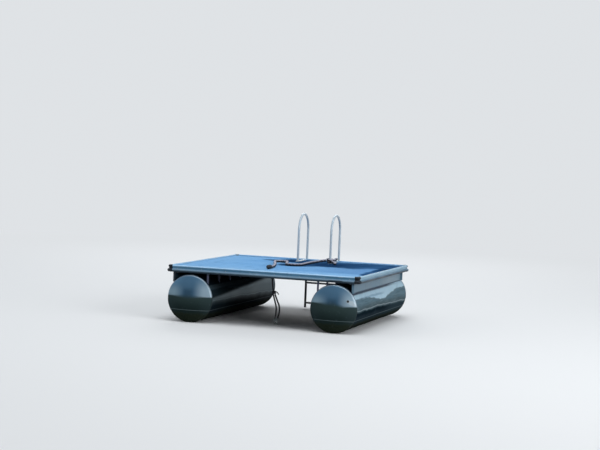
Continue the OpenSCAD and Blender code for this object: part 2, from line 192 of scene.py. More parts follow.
class Finish(Tree):
    """A material in the making: short calls for the nodes that the finishes share."""

    def __init__(self, name, metallic=0.0, roughness=0.5, specular=0.5):
        self.material = bpy.data.materials.new(name)
        super().__init__(self.material)
        self.shader = self.nodes["Principled BSDF"]
        self.shader.inputs["Metallic"].default_value = metallic
        self.shader.inputs["Roughness"].default_value = roughness
        self.shader.inputs["Specular IOR Level"].default_value = specular
        self.place = self.add("TexCoord", {}).outputs["Object"]
        self.x, self.y, self.z = self.add("SeparateXYZ", {"Vector": self.place}).outputs
        self.normal = None

    def upward(self):
        """How far the surface faces up, from minus 1 to 1."""
        normal = self.add("NewGeometry", {}).outputs["Normal"]
        return self.add("SeparateXYZ", {"Vector": normal}).outputs["Z"]

    def length(self, vector):
        return self.add("VectorMath", {0: vector}, operation="LENGTH").outputs["Value"]

    def oval(self, centre, half_sizes, turn=0.0):
        """0 at the centre of an oval, turned about Y, and 1 on its edge."""
        inputs = {"Vector": self.place, "Location": centre, "Rotation": (0, turn, 0), "Scale": half_sizes}
        return self.length(self.add("Mapping", inputs, vector_type="TEXTURE").outputs["Vector"])

    def scaled(self, stretch, shift):
        shifts = (shift, shift * 0.7, shift * 0.3)
        inputs = {"Vector": self.place, "Location": shifts, "Scale": stretch}
        return self.add("Mapping", inputs).outputs["Vector"]

    def noise(self, size, stretch=(1, 1, 1), detail=3.0, shift=0.0):
        """Noise whose lumps are about size metres across."""
        place = self.scaled(stretch, shift)
        inputs = {"Vector": place, "Scale": 1 / size, "Detail": detail, "Roughness": 0.55}
        return self.add("TexNoise", inputs).outputs["Fac"]

    def wander(self, size, reach, shift=0.0, stretch=(1, 1, 1), detail=4.0):
        """A number that wanders between minus and plus reach."""
        return self.times(self.minus(self.noise(size, stretch, detail, shift), 0.5), 2 * reach)

    def cells(self, size, stretch=(1, 1, 1)):
        inputs = {"Vector": self.scaled(stretch, 0.0), "Scale": 1 / size}
        return self.add("TexVoronoi", inputs).outputs["Distance"]

    def plus(self, first, second):
        return self.math("ADD", first, second)

    def minus(self, first, second):
        return self.math("SUBTRACT", first, second)

    def times(self, first, second):
        return self.math("MULTIPLY", first, second)

    def apart(self, first, second):
        return self.math("ABSOLUTE", self.minus(first, second))

    def step(self, value, low, high):
        """0 below low and 1 above high, and the other way round where low is the larger."""
        inputs = {"Value": value, "From Min": low, "From Max": high}
        return self.add("MapRange", inputs, interpolation_type="SMOOTHSTEP").outputs["Result"]

    def span(self, value, low, high, to_low, to_high):
        """From to_low at low to to_high at high, in a straight line, and level beyond them."""
        inputs = {"Value": value, "From Min": low, "From Max": high, "To Min": to_low, "To Max": to_high}
        return self.add("MapRange", inputs).outputs["Result"]

    def mix(self, share, first, second):
        """The first colour where share is 0, and the second where it is 1. Three numbers are a tone."""
        inputs = {0: share, 6: first, 7: second}
        for socket, colour in inputs.items():
            if isinstance(colour, tuple) and len(colour) == 3:
                inputs[socket] = tone(*colour)
        return self.add("Mix", inputs, data_type="RGBA").outputs[2]

    def over(self, colour, share, strength, shade):
        """A shade laid over a colour where share is 1, as strong as strength."""
        return self.mix(self.times(share, strength), colour, shade)

    def blend(self, share, first, second):
        """The same as mix, for numbers."""
        return self.add("Mix", {0: share, 2: first, 3: second}).outputs[0]

    def bump(self, height, depth, strength):
        inputs = {"Height": height, "Distance": depth, "Strength": strength}
        if self.normal is not None:
            inputs["Normal"] = self.normal
        self.normal = self.add("Bump", inputs).outputs["Normal"]

    def done(self, colour, roughness=None, metallic=None):
        for key, value in (("Base Color", colour), ("Roughness", roughness), ("Metallic", metallic)):
            if value is not None:
                self.feed(self.shader.inputs[key], value)
        if self.normal is not None:
            self.links.new(self.normal, self.shader.inputs["Normal"])
        return self.material


# Where the covering is soaked, and where it carries painted shadow: middle and half sizes of each patch
# along X and Y, in metres. The patches under the rope also stand for its painted shadow.
WET_AND_SHADOW_PATCHES = [
    ((0.62, 0.72), (0.66, 0.52)),
    ((-0.02, 0.92), (0.62, 0.36)),
    ((0.95, 1.05), (0.4, 0.22)),
    ((0.26, 0.42), (0.36, 0.24)),
    ((-0.02, 0.24), (0.26, 0.3)),
    ((-0.44, 0.86), (0.26, 0.12)),
    # Along the right-hand rail: soaked, and painted shade where the covering meets the rail.
    ((1.21, 0.35), (0.13, 1.3)),
]


def wet_and_shadow_share(f):
    """1 where the covering is soaked, and where it carries painted shadow. The patches run into each other
    and have ragged edges.
    """
    wet_and_shadow = None
    for (x, y), (half_x, half_y) in WET_AND_SHADOW_PATCHES:
        near = f.minus(1.0, f.oval((x, y, DECK_Z), (half_x, half_y, 1)))
        wet_and_shadow = near if wet_and_shadow is None else f.larger(wet_and_shadow, near)
    return f.step(f.plus(wet_and_shadow, f.wander(0.22, 0.45, detail=5.0)), -0.12, 0.24)


def dry_covering(f, broad):
    """Palest in front and on the left, duller to the right, and worn in small places."""
    dry = f.mix(broad, (114, 168, 220), (130, 181, 227))
    palest = f.larger(f.step(f.y, -0.6, -0.85), f.step(f.x, -0.6, -1.2))
    dry = f.over(dry, palest, 0.6, (142, 188, 228))
    dull = f.step(f.plus(f.x, f.times(f.noise(0.4, shift=12.0), 0.5)), 0.15, 1.25)
    dull = f.times(dull, f.step(f.y, -0.85, -0.55))
    dry = f.over(dry, dull, 0.75, (98, 142, 192))
    worn = f.step(f.noise(0.09, (1, 0.35, 1), detail=6.0, shift=8.0), 0.5, 0.75)
    return f.over(dry, worn, 0.4, (84, 134, 184))


def soaked_and_shaded_covering(f, broad):
    """The colour of the soaked patches and of the painted shadow: dark in broad patches, and half dry on
    the right, but not beside the rail, where the painted shade stays darkest.
    """
    drying = f.step(f.plus(f.x, f.noise(0.3, shift=7.0)), 0.9, 1.7)
    drying = f.times(drying, f.step(f.x, 1.14, 1.02))
    return f.mix(f.larger(broad, drying), (26, 56, 92), (50, 90, 134))


def covering_finish():
    """Pale blue looped carpet with tufts and dark specks, soaked in places, with painted shadow under the
    rope and painted shade along the right-hand rail.
    """
    f = Finish("covering_blue", specular=0.0)
    broad = f.step(f.noise(0.7, detail=2.0, shift=3.0), 0.35, 0.7)
    loops = f.cells(0.0045)
    tufts = f.noise(0.012, detail=4.0, shift=1.0)
    dry = f.mix(f.span(tufts, 0.3, 0.7, 0.0, 0.3), dry_covering(f, broad), (70, 122, 178))
    specks = f.step(f.noise(0.018, detail=2.0, shift=20.0), 0.735, 0.76)
    dry = f.over(dry, specks, 0.7, (58, 66, 68))
    f.bump(loops, 0.0016, 0.8)
    f.bump(tufts, 0.002, 0.6)
    wet_and_shadow = wet_and_shadow_share(f)
    return f.done(f.mix(wet_and_shadow, dry, soaked_and_shaded_covering(f, broad)), f.blend(wet_and_shadow, 0.95, 0.8))


# Where the rails' painted light and shade change, as heights above their lower edge, in metres
GROOVE_FROM = (0.044, 0.05)
BEAD_FROM = (0.072, 0.08)
SIDE_LIT_FROM = (0.036, 0.056)
SHADED_BELOW = (0.044, 0.012)

# The scuff on the front rail: its middle along X and above the rail's lower edge, in metres
SCUFF_X = 0.98
SCUFF_UP = 0.022


def rail_bands(f, up, along):
    """Painted light and shade in bands: painted shade at the foot, a lit nose, a groove darkened as painted
    shade and a bright bead as a painted highlight. The side rails are paler, as painted light, with painted
    shade on their tops.
    """
    nose = f.mix(along, (112, 146, 172), (130, 164, 188))
    groove = f.mix(along, (82, 130, 164), (98, 146, 180))
    bead = f.mix(along, (150, 196, 234), (168, 210, 240))
    body = f.mix(f.step(up, *GROOVE_FROM), nose, groove)
    body = f.mix(f.step(up, *BEAD_FROM), body, bead)
    side = f.step(f.math("ABSOLUTE", f.x), RAIL_FACE - 0.001, RAIL_FACE + 0.001)
    # Painted light on the side rails.
    pale = f.mix(f.step(up, *SIDE_LIT_FROM), (76, 104, 124), (154, 190, 210))
    body = f.over(body, side, 0.9, pale)
    # Painted shade on the side rails' tops, beside the covering.
    side_top_shade = f.times(side, f.step(f.upward(), 0.5, 0.95))
    body = f.over(body, side_top_shade, 0.8, (96, 136, 164))
    return f.over(body, f.step(up, *SHADED_BELOW), 0.88, (20, 32, 44))


def rail_scuff(f, up):
    """1 on the scuff, near the right-hand end of the front rail."""
    scuff = f.step(f.apart(f.x, SCUFF_X), 0.11, 0.07)
    scuff = f.times(scuff, f.step(f.y, -1.2, -1.29))
    return f.times(scuff, f.step(f.apart(up, SCUFF_UP), 0.013, 0.007))


def rail_finish():
    """Satin grey blue in bands of painted light and shade, with streaks, scratches and a dark scuff."""
    f = Finish("rail_satin", specular=0.2)
    up = f.minus(f.z, RAIL_Z)
    along = f.noise(0.35, (1, 1, 0.4), detail=5.0)
    body = rail_bands(f, up, along)
    body = f.over(body, rail_scuff(f, up), 0.8, (26, 36, 44))
    streaks = f.step(f.noise(0.05, (1, 1, 0.12), detail=6.0, shift=5.0), 0.56, 0.78)
    body = f.over(body, streaks, 0.3, (58, 80, 98))
    scratches = f.step(f.noise(0.02, (0.12, 0.12, 1.6), detail=7.0, shift=11.0), 0.62, 0.7)
    body = f.over(body, scratches, 0.3, (186, 200, 206))
    f.bump(f.noise(0.03, (0.3, 0.3, 2), detail=5.0, shift=2.0), 0.0012, 0.35)
    f.bump(scratches, 0.0003, 0.5)
    return f.done(body, f.span(along, 0.3, 0.7, 0.34, 0.55))


def rubber_finish(name, fresh, dust_and_glare, top_dust_and_glare):
    """Rubber that dust covers in patches, and most where it faces up, where the paler top is also a painted
    sky glare.
    """
    f = Finish(name, specular=0.25)
    dust = f.step(f.noise(0.03, detail=6.0), 0.5, 0.78)
    top = f.step(f.upward(), 0.2, 0.9)
    share = f.plus(f.times(dust, 0.2), f.times(top, top_dust_and_glare))
    f.bump(f.noise(0.004, detail=4.0), 0.0005, 0.6)
    return f.done(f.mix(share, fresh, dust_and_glare), f.span(dust, 0.0, 1.0, 0.42, 0.7))


# Where the pontoons change colour, as heights above their undersides, in metres: the float line, growth, a
# pale line, and the edges of painted reflections and of the painted shadow under the risers
FLOAT_LINE = 0.163
GROWTH_TOP = FLOAT_LINE - 0.01
WATER_REFLECTION_TOP = (0.255, 0.28)
PALE_LINE = 0.288
DARK_REFLECTION_BAND = 0.428
RISER_SHADOW_FROM = (0.478, 0.494)


def growth_on(f, colour, height, top):
    """Green and brown growth below the height top. Gives the colour and how thick the growth is."""
    lumps = f.noise(0.02, detail=6.0, shift=3.0)
    thick = f.step(f.plus(height, f.wander(0.05, 0.03, 9.0)), top, top - 0.06)
    grown = f.mix(lumps, (20, 30, 26), (54, 60, 44))
    f.bump(f.times(thick, lumps), 0.004, 0.7)
    return f.over(colour, thick, 0.8, grown), thick


def float_line_on(f, colour, height):
    """The thin pale line at the level at which the raft floats."""
    line = f.step(f.apart(height, FLOAT_LINE), 0.006, 0.002)
    return f.over(colour, line, 0.6, (108, 124, 128))


def sky_reflection(f, cloud):
    """Painted reflection of the sky: bright, with darker shapes, and a darker band along the front half."""
    sky_colour = f.mix(cloud, (140, 178, 202), (192, 222, 234))
    shapes = f.step(f.noise(0.1, (1, 0.4, 1.2), shift=21.0), 0.45, 0.7)
    sky_colour = f.over(sky_colour, shapes, 0.3, (120, 160, 186))
    wavy = f.plus(f.z, f.wander(0.2, 0.012, 27.0))
    band = f.times(f.step(f.apart(wavy, DARK_REFLECTION_BAND), 0.02, 0.006), f.step(f.y, 0.3, -0.1))
    return f.over(sky_colour, band, 0.6, (96, 138, 166))


def grey_reflection(f, level):
    """Painted reflection in grey, with long thin ripples."""
    grey_colour = f.mix(f.step(level, 0.31, 0.38), (70, 90, 98), (88, 116, 130))
    ripples = f.step(f.noise(0.03, (1, 0.12, 1), shift=17.0), 0.45, 0.7)
    grey_colour = f.over(grey_colour, ripples, 0.4, (112, 132, 140))
    fine = f.step(f.noise(0.012, (1, 0.03, 1), detail=2.0, shift=29.0), 0.5, 0.6)
    return f.over(grey_colour, fine, 0.3, (56, 72, 76))


def outer_side(f, cloud, above, level, line):
    """Painted reflections: the bright sky above a wavy edge and grey below it, then a pale line, a dark
    band of reflected water and a painted shadow under the riser.
    """
    # Painted reflections: bright sky above the wavy edge, grey below it.
    colour = f.mix(f.step(above, -0.006, 0.01), grey_reflection(f, level), sky_reflection(f, cloud))
    # Painted reflection of the water: a dark band low on the side, lighter to the rear.
    dark = f.mix(f.step(level, 0.18, 0.24), (42, 54, 62), (20, 34, 42))
    dark = f.over(dark, f.step(f.y, -0.1, 0.8), 0.8, (54, 70, 78))
    colour = f.mix(f.step(level, *WATER_REFLECTION_TOP), dark, colour)
    colour = f.over(colour, line, 0.7, (146, 162, 170))
    # Painted shadow under the riser plate, fading to the rear.
    riser_shadow = f.step(f.plus(f.z, f.wander(0.08, 0.006, 16.0)), *RISER_SHADOW_FROM)
    fading = f.span(f.y, 0.45, 0.95, 0.92, 0.05)
    return f.mix(f.times(riser_shadow, fading), colour, (24, 42, 72))


def inner_side(f, level, line, tilted):
    """Painted shade from the deck, with one lighter band of painted reflection, whose upper edge climbs to
    the rear.
    """
    shaded = f.mix(f.step(level, 0.2, 0.32), (12, 26, 34), (76, 92, 98))
    shaded = f.mix(f.step(tilted, 0.37, 0.41), shaded, (14, 22, 26))
    return f.over(shaded, line, 0.4, (112, 128, 136))


def tube_metallic(f, above, level, tilted, inner):
    """Most metallic above the wavy edge outside, and in the lighter band inside."""
    higher = f.times(f.step(f.y, 0.2, 0.9), f.span(f.z, 0.36, 0.42, 0.0, 0.25))
    lit = f.plus(f.span(level, 0.22, 0.31, 0.14, 0.5), higher)
    lit = f.times(lit, f.step(tilted, 0.415, 0.365))
    shiny = f.times(f.span(above, -0.02, 0.02, 0.18, 0.7), f.step(level, 0.25, 0.3))
    return f.blend(inner, shiny, lit)


def pontoon_finish():
    """Weathered metal with painted reflections on its outer side, painted shade on its inner side and
    growth at its foot.
    """
    f = Finish("pontoon_tube", specular=0.0)
    y, z = f.y, f.z
    cloud = f.noise(0.3, (1, 0.5, 1), detail=5.0, shift=7.0)
    edge = f.span(f.step(f.apart(y, 0.05), 0.0, 0.85), 0.0, 1.0, 0.36, 0.43)
    above = f.minus(z, f.plus(edge, f.wander(0.16, 0.026, 4.0)))
    level = f.plus(z, f.wander(0.2, 0.024, 6.0, (1, 1, 0.3)))
    level = f.plus(level, f.span(y, -0.3, 1.3, 0.0, 0.045))
    line = f.step(f.apart(level, PALE_LINE), 0.008, 0.003)
    tilted = f.minus(z, f.times(y, 0.05))
    inner = f.step(f.math("ABSOLUTE", f.x), TUBE_X + 0.02, TUBE_X - 0.1)
    colour = outer_side(f, cloud, above, level, line)
    # Painted shade on the side that faces the other pontoon, under the deck.
    colour = f.over(colour, inner, 0.9, inner_side(f, level, line, tilted))
    colour, thick = growth_on(f, colour, z, GROWTH_TOP)
    colour = float_line_on(f, colour, f.plus(z, f.wander(0.4, 0.002, 23.0)))
    streaks = f.step(f.noise(0.05, (1, 1, 0.1), detail=6.0, shift=13.0), 0.55, 0.8)
    colour = f.over(colour, streaks, 0.2, (72, 90, 100))
    f.bump(f.noise(0.004, (1, 0.05, 1)), 0.0003, 0.3)
    rough = f.plus(f.span(cloud, 0.3, 0.7, 0.3, 0.42), f.times(thick, 0.4))
    return f.done(colour, rough, tube_metallic(f, above, level, tilted, inner))


def dome_upper(f, level, sideways, cloud):
    """Painted reflection of the sky: blue grey, paler to both sides and darkest in the middle, with a pale
    rim as a painted highlight.
    """
    colour = f.mix(f.step(level, 0.36, 0.56), (66, 97, 122), (80, 114, 140))
    colour = f.mix(f.span(cloud, 0.3, 0.7, 0.0, 0.3), colour, (64, 98, 126))
    # Painted reflection: paler sides and a darker middle.
    left = f.times(f.step(sideways, -0.03, -0.22), f.step(level, 0.52, 0.38))
    colour = f.over(colour, left, 0.9, (134, 160, 175))
    right = f.times(f.step(sideways, 0.05, 0.22), f.step(level, 0.62, 0.42))
    colour = f.over(colour, right, 0.8, (158, 180, 194))
    spot = f.times(f.step(f.math("ABSOLUTE", sideways), 0.1, 0.02), f.step(level, 0.47, 0.4))
    colour = f.over(colour, spot, 0.5, (40, 62, 78))
    from_axis = f.add("CombineXYZ", {"X": sideways, "Z": f.minus(f.z, AXIS_Z)})
    radius = f.length(from_axis.outputs["Vector"])
    # Painted highlight on the rim, brightest on the right.
    rim = f.step(radius, TUBE_R - 0.016, TUBE_R - 0.005)
    return f.mix(f.times(rim, f.span(sideways, -0.25, 0.25, 0.35, 0.9)), colour, (168, 186, 198))


def dome_lower(f, level, beside):
    """Painted reflection of dark water on the lower part, a little lighter to both sides."""
    colour = f.mix(f.step(level, 0.17, 0.33), (36, 50, 50), (52, 68, 68))
    return f.over(colour, f.step(beside, 0.1, 0.28), 0.4, (56, 70, 74))


def above_painted_horizon(f, level, sideways):
    """Height above the painted horizon between the reflected sky and water, which is a little higher on the
    right-hand pontoon.
    """
    x = f.x
    higher = f.times(f.step(x, 0.0, 0.1), f.step(sideways, 0.16, 0.02))
    edge = f.plus(f.span(x, -0.1, 0.1, 0.34, 0.352), f.times(higher, 0.025))
    return f.minus(level, edge)


def plug_pale_patch(f):
    """1 on the pale patch beside the air plug."""
    low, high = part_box("air_plug")
    centre = ((low.x + high.x) / 2 + 0.045, -TUBE_HALF, (low.z + high.z) / 2 - 0.022)
    away = f.oval(centre, (0.085, 0.4, 0.032), math.radians(24))
    return f.step(f.plus(away, f.wander(0.02, 0.6, 31.0)), 1.0, 0.6)


def dome_finish():
    """Weathered metal with painted reflections: the sky above its middle and dark water below it."""
    f = Finish("pontoon_end", specular=0.0)
    x, z = f.x, f.z
    cloud = f.noise(0.25, detail=5.0, shift=2.0)
    sideways = f.minus(x, f.times(f.math("SIGN", x), TUBE_X))
    beside = f.math("ABSOLUTE", sideways)
    level = f.plus(z, f.wander(0.3, 0.008, 6.0))
    above = above_painted_horizon(f, level, sideways)
    soft = f.span(beside, 0.0, 0.22, 0.045, 0.01)
    share = f.step(f.math("DIVIDE", above, soft), -1.0, 1.0)
    colour = f.mix(share, dome_lower(f, level, beside), dome_upper(f, level, sideways, cloud))
    colour, thick = growth_on(f, colour, z, GROWTH_TOP)
    colour = float_line_on(f, colour, z)
    spots = f.step(f.noise(0.03, detail=5.0, shift=15.0), 0.62, 0.75)
    colour = f.over(colour, spots, 0.12, (128, 146, 158))
    colour = f.over(colour, plug_pale_patch(f), 0.55, (188, 198, 204))
    f.bump(f.noise(0.35, detail=2.0, shift=1.0), 0.006, 0.3)
    rough = f.plus(f.span(cloud, 0.3, 0.7, 0.32, 0.42), f.times(thick, 0.3))
    return f.done(colour, rough, f.span(above, -0.01, 0.02, 0.04, 0.35))


def weld_finish():
    """Grey beads, darkened like the pontoons' painted reflection of water below their middle and painted
    shadow under the risers.
    """
    f = Finish("weld_metal", metallic=0.5, roughness=0.4)
    level = f.plus(f.z, f.wander(0.12, 0.02, 4.0))
    colour = f.mix(f.noise(0.02, detail=4.0), (88, 108, 122), (140, 160, 174))
    # Painted reflection of the water below the middle, as on the pontoons.
    colour = f.mix(f.step(level, 0.35, 0.33), colour, (44, 54, 56))
    # Painted shadow under the risers, as on the pontoons.
    colour = f.mix(f.step(f.z, 0.485, 0.5), colour, (56, 76, 98))
    colour = growth_on(f, colour, level, FLOAT_LINE)[0]
    f.bump(f.noise(0.003), 0.0006, 0.6)
    return f.done(colour)


def riser_finish(name, light, dark, metallic):
    """Dull brushed metal with drips, lighter to the rear, with painted shadow under the rail and painted
    shade on the left-hand front end.
    """
    f = Finish(name, metallic=metallic)
    x, y, z = f.x, f.y, f.z
    cloud = f.noise(0.28, (1, 0.5, 1), detail=4.0, shift=3.0)
    colour = f.mix(f.span(cloud, 0.3, 0.7, 0.0, 1.0), dark, light)
    colour = f.over(colour, f.step(y, -0.3, 0.9), 0.45, (130, 156, 170))
    drips = f.step(f.noise(0.04, (1, 1, 0.1), detail=6.0, shift=6.0), 0.55, 0.8)
    colour = f.over(colour, drips, 0.4, (60, 68, 78))
    # Painted shadow under the rail.
    rail_shadow = f.step(z, RAIL_Z - 0.034, RAIL_Z - 0.012)
    colour = f.over(colour, rail_shadow, 0.8, (38, 58, 74))
    # Painted shade on the front end of the left-hand outer riser.
    left_end_shade = f.times(f.step(x, -1.1, -1.16), f.step(y, -1.2, -1.25))
    colour = f.over(colour, left_end_shade, 0.9, (14, 20, 28))
    f.bump(f.noise(0.01, (1, 0.06, 1), detail=5.0), 0.0003, 0.4)
    f.bump(f.noise(0.4, detail=2.0), 0.01, 0.3)
    return f.done(colour, f.span(cloud, 0.3, 0.7, 0.34, 0.5))


def frame_finish():
    """Dull dark metal, darkened as painted shade under the deck, with a white bloom in spots."""
    f = Finish("frame_dull", metallic=0.6, roughness=0.55)
    cloud = f.noise(0.15, (0.3, 1, 1), detail=5.0)
    colour = f.mix(cloud, (40, 46, 54), (78, 86, 94))
    white = f.step(f.noise(0.03, detail=6.0, shift=4.0), 0.6, 0.75)
    colour = f.over(colour, white, 0.35, (120, 126, 128))
    f.bump(f.noise(0.006, (0.1, 1, 1)), 0.0004, 0.5)
    return f.done(colour)


def panel_finish():
    """Weathered plywood, darkened as painted shade under the deck: grain, knots and damp places."""
    f = Finish("deck_plywood", roughness=0.8)
    grain = f.noise(0.012, (1, 0.05, 1), detail=7.0)
    colour = f.mix(grain, (40, 34, 30), (84, 72, 60))
    knots = f.step(f.cells(0.28, (1, 0.4, 1)), 0.1, 0.03)
    colour = f.mix(knots, colour, (26, 20, 18))
    damp = f.step(f.noise(0.3, detail=4.0, shift=2.0), 0.45, 0.65)
    colour = f.over(colour, damp, 0.6, (24, 24, 26))
    f.bump(grain, 0.001, 0.6)
    return f.done(colour)


def ladder_finish():
    """Pale spotted metal, with painted shade below the rail, and darker still at its foot."""
    f = Finish("ladder_metal")
    z = f.z
    cloud = f.noise(0.06, (1, 1, 0.4), detail=5.0)
    colour = f.mix(cloud, (172, 188, 200), (194, 208, 218))
    spots = f.step(f.noise(0.014, detail=5.0, shift=4.0), 0.62, 0.72)
    colour = f.over(colour, spots, 0.3, (124, 138, 146))
    # Painted shade below the rail, under the deck.
    below = f.step(f.plus(z, f.wander(0.05, 0.03)), RAIL_Z + 0.05, RAIL_Z - 0.02)
    colour = f.over(colour, below, 0.93, (20, 18, 22))
    foot = f.step(f.plus(z, f.wander(0.04, 0.04, 2.0)), 0.2, 0.14)
    colour = f.over(colour, foot, 0.8, (28, 34, 28))
    f.bump(f.noise(0.002, (1, 1, 0.05), detail=2.0), 0.0002, 0.4)
    return f.done(colour, f.span(below, 0.0, 1.0, 0.38, 0.6), f.span(below, 0.0, 1.0, 0.2, 0.05))


def rope_finish(name, lit):
    """Black rope, paler where it faces up: dust in patches and a painted sky reflection."""
    f = Finish(name)
    fibres = f.noise(0.0016)
    patchy = f.noise(0.05, detail=4.0, shift=4.0)
    up = f.step(f.upward(), 0.05, 0.6)
    # Dust in patches, and a painted sky reflection on the top.
    dust_and_glare = f.times(up, f.span(patchy, 0.3, 0.6, 0.4, 1.0))
    colour = f.over(f.mix(fibres, (8, 10, 16), (30, 32, 42)), dust_and_glare, 0.85, lit)
    f.bump(fibres, 0.0008, 0.7)
    return f.done(colour, f.span(patchy, 0.3, 0.7, 0.5, 0.85))


def steel_finish():
    """Bright fixings with a little rust."""
    f = Finish("bolt_steel", metallic=0.95, roughness=0.32)
    colour = f.mix(f.noise(0.01, detail=4.0), (120, 128, 134), (186, 194, 198))
    rust = f.step(f.noise(0.012, detail=5.0, shift=7.0), 0.64, 0.74)
    return f.done(f.over(colour, rust, 0.4, (104, 72, 50)))


def plug_finish():
    """Matt black plastic."""
    f = Finish("plug_black")
    colour = f.mix(f.noise(0.004, detail=4.0), (16, 18, 20), (46, 50, 54))
    f.bump(f.noise(0.002), 0.0003, 0.6)
    return f.done(colour)


def galvanised_finish():
    """Spangled grey zinc under slime."""
    f = Finish("link_galvanised", metallic=0.7)
    colour = f.mix(f.cells(0.012), (92, 98, 100), (138, 144, 146))
    slime = f.step(f.noise(0.03, detail=6.0, shift=2.0), 0.4, 0.62)
    colour = f.over(colour, slime, 0.7, (44, 48, 36))
    f.bump(f.noise(0.006, detail=4.0), 0.0008, 0.6)
    return f.done(colour)


FINISH = {
    "covering": covering_finish(),
    "rail": rail_finish(),
    "rubber": rubber_finish("cap_rubber", (14, 20, 28), (72, 92, 110), 0.2),
    # The rear caps: pale with dust and bleaching, and painted sky glare on their tops.
    "rubber_bleached_glare": rubber_finish("cap_rubber_dust_glare", (132, 154, 168), (168, 194, 208), 0.8),
    "pontoon": pontoon_finish(),
    "dome": dome_finish(),
    "weld": weld_finish(),
    "riser": riser_finish("riser_plate", (99, 131, 151), (78, 109, 129), 0.5),
    # The posts under the deck: a darker copy of the riser finish, as painted shade.
    "post": riser_finish("riser_post_shaded", (84, 86, 110), (52, 56, 76), 0.4),
    "frame": frame_finish(),
    "panel": panel_finish(),
    "ladder": ladder_finish(),
    "rope": rope_finish("rope_black", (172, 174, 194)),
    "mooring": rope_finish("rope_wet", (44, 46, 52)),
    "steel": steel_finish(),
    "plug": plug_finish(),
    "link": galvanised_finish(),
}

# Shapes


def new_object(name, points, faces, material):
    mesh = bpy.data.meshes.new(name)
    mesh.from_pydata(points, [], faces)
    mesh.update()
    mesh.materials.append(material)
    obj = bpy.data.objects.new(name, mesh)
    bpy.context.scene.collection.objects.link(obj)
    return obj


class Shape:
    """Points and faces gathered for one piece."""

    def __init__(self):
        self.points = []
        self.faces = []

    def rings(self, rings, loop=False):
        """Walls between rings with as many points each. The ends are capped, or joined in a loop."""
        first = len(self.points)
        count = len(rings[0])
        for ring in rings:
            self.points += [tuple(p) for p in ring]
        for i in range(len(rings) if loop else len(rings) - 1):
            a = first + i * count
            b = first + (i + 1) % len(rings) * count
            for k in range(count):
                n = (k + 1) % count
                self.faces.append((a + k, a + n, b + n, b + k))
        if not loop:
            self.faces.append(tuple(first + k for k in reversed(range(count))))
            self.faces.append(tuple(first + (len(rings) - 1) * count + k for k in range(count)))
        return self

    def revolved(self, outline, place, steps=48):
        """A closed outline of (radius, height) points, turned round the Z axis of place."""
        return self.rings([[place @ around(r, a, h) for r, h in outline] for a in turns(steps)], loop=True)

    def piece(self, name, finish, slot, replaces=(), angle=40):
        """The finished object. Edges sharper than angle degrees stay sharp."""
        obj = new_object(name, self.points, self.faces, FINISH[finish])
        obj.data.shade_smooth()
        obj.data.set_sharp_from_angle(angle=math.radians(angle))
        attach(obj, "root")
        if replaces:
            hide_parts(*replaces)
        return obj


def turns(count):
    """Evenly spaced angles of one full turn, in radians."""
    return [2 * math.pi * i / count for i in range(count)]


def spaced(first, last, count):
    """Numbers from first to last in count even steps."""
    return [first + (last - first) * i / count for i in range(count + 1)]


def around(radius, turn, height=0.0):
    """A point at a distance and a turn round the Z axis."""
    return Vector((radius * math.cos(turn), radius * math.sin(turn), height))


def spline(p0, p1, p2, p3, t):
    """The point at t, from 0 to 1, between p1 and p2 on the smooth curve through four points."""
    return 0.5 * (
        2 * p1 + (p2 - p0) * t + (2 * p0 - 5 * p1 + 4 * p2 - p3) * t * t
        + (3 * p1 - p0 - 3 * p2 + p3) * t * t * t
    )


def smooth_route(route, spacing):
    """A smooth line through the route's points, with a stop about every spacing metres."""
    route = [Vector(p) for p in route]
    padded = [route[0]] + route + [route[-1]]
    stops = []
    for p0, p1, p2, p3 in zip(padded, padded[1:], padded[2:], padded[3:]):
        steps = max(1, round((p2 - p1).length / spacing))
        stops += [spline(p0, p1, p2, p3, k / steps) for k in range(steps)]
    return stops + [route[-1]]


def tube_rings(stops, radius, sides, first_side=(0, 0, 1), closed=False):
    """Rings round a line of stops. radius is metres, or a function of the length along and the turn."""
    count = len(stops)
    side = Vector(first_side)
    rings = []
    length = 0.0
    for i, stop in enumerate(stops):
        before = stops[(i - 1) % count] if closed else stops[max(i - 1, 0)]
        after = stops[(i + 1) % count] if closed else stops[min(i + 1, count - 1)]
        heading = (after - before).normalized()
        side = (side - side.dot(heading) * heading).normalized()
        other = heading.cross(side)
        if i:
            length += (stop - stops[i - 1]).length
        ring = []
        for turn in turns(sides):
            reach = radius(length, turn) if callable(radius) else radius
            ring.append(stop + reach * (math.cos(turn) * side + math.sin(turn) * other))
        rings.append(ring)
    return rings


def rope_reach(diameter, pitch, strands=3, depth=0.16):
    """Outline of a laid rope: its strands bulge, and turn once every pitch metres."""
    def reach(along, turn):
        phase = strands * (turn - 2 * math.pi * along / pitch) / 2
        return diameter / 2 * (1 - depth * (1 - abs(math.cos(phase))) * 1.6)
    return reach


def bead_reach(radius, pitch):
    """Outline of a weld bead: ripples along its length."""
    def reach(along, turn):
        return radius * (1 + 0.22 * abs(math.sin(math.pi * along / pitch)) - 0.11)
    return reach


def round_stops(centre, radius, steps, axis):
    """Stops on a circle round a line along the named axis."""
    stops = []
    for a in turns(steps):
        u, v = radius * math.cos(a), radius * math.sin(a)
        offset = (u, 0, v) if axis == "y" else (u, v, 0)
        stops.append(Vector(centre) + Vector(offset))
    return stops


def pointed(place, direction):
    """The frame whose Z axis points along direction, at place."""
    turn = Vector((0, 0, 1)).rotation_difference(Vector(direction))
    return Matrix.Translation(Vector(place)) @ turn.to_matrix().to_4x4()


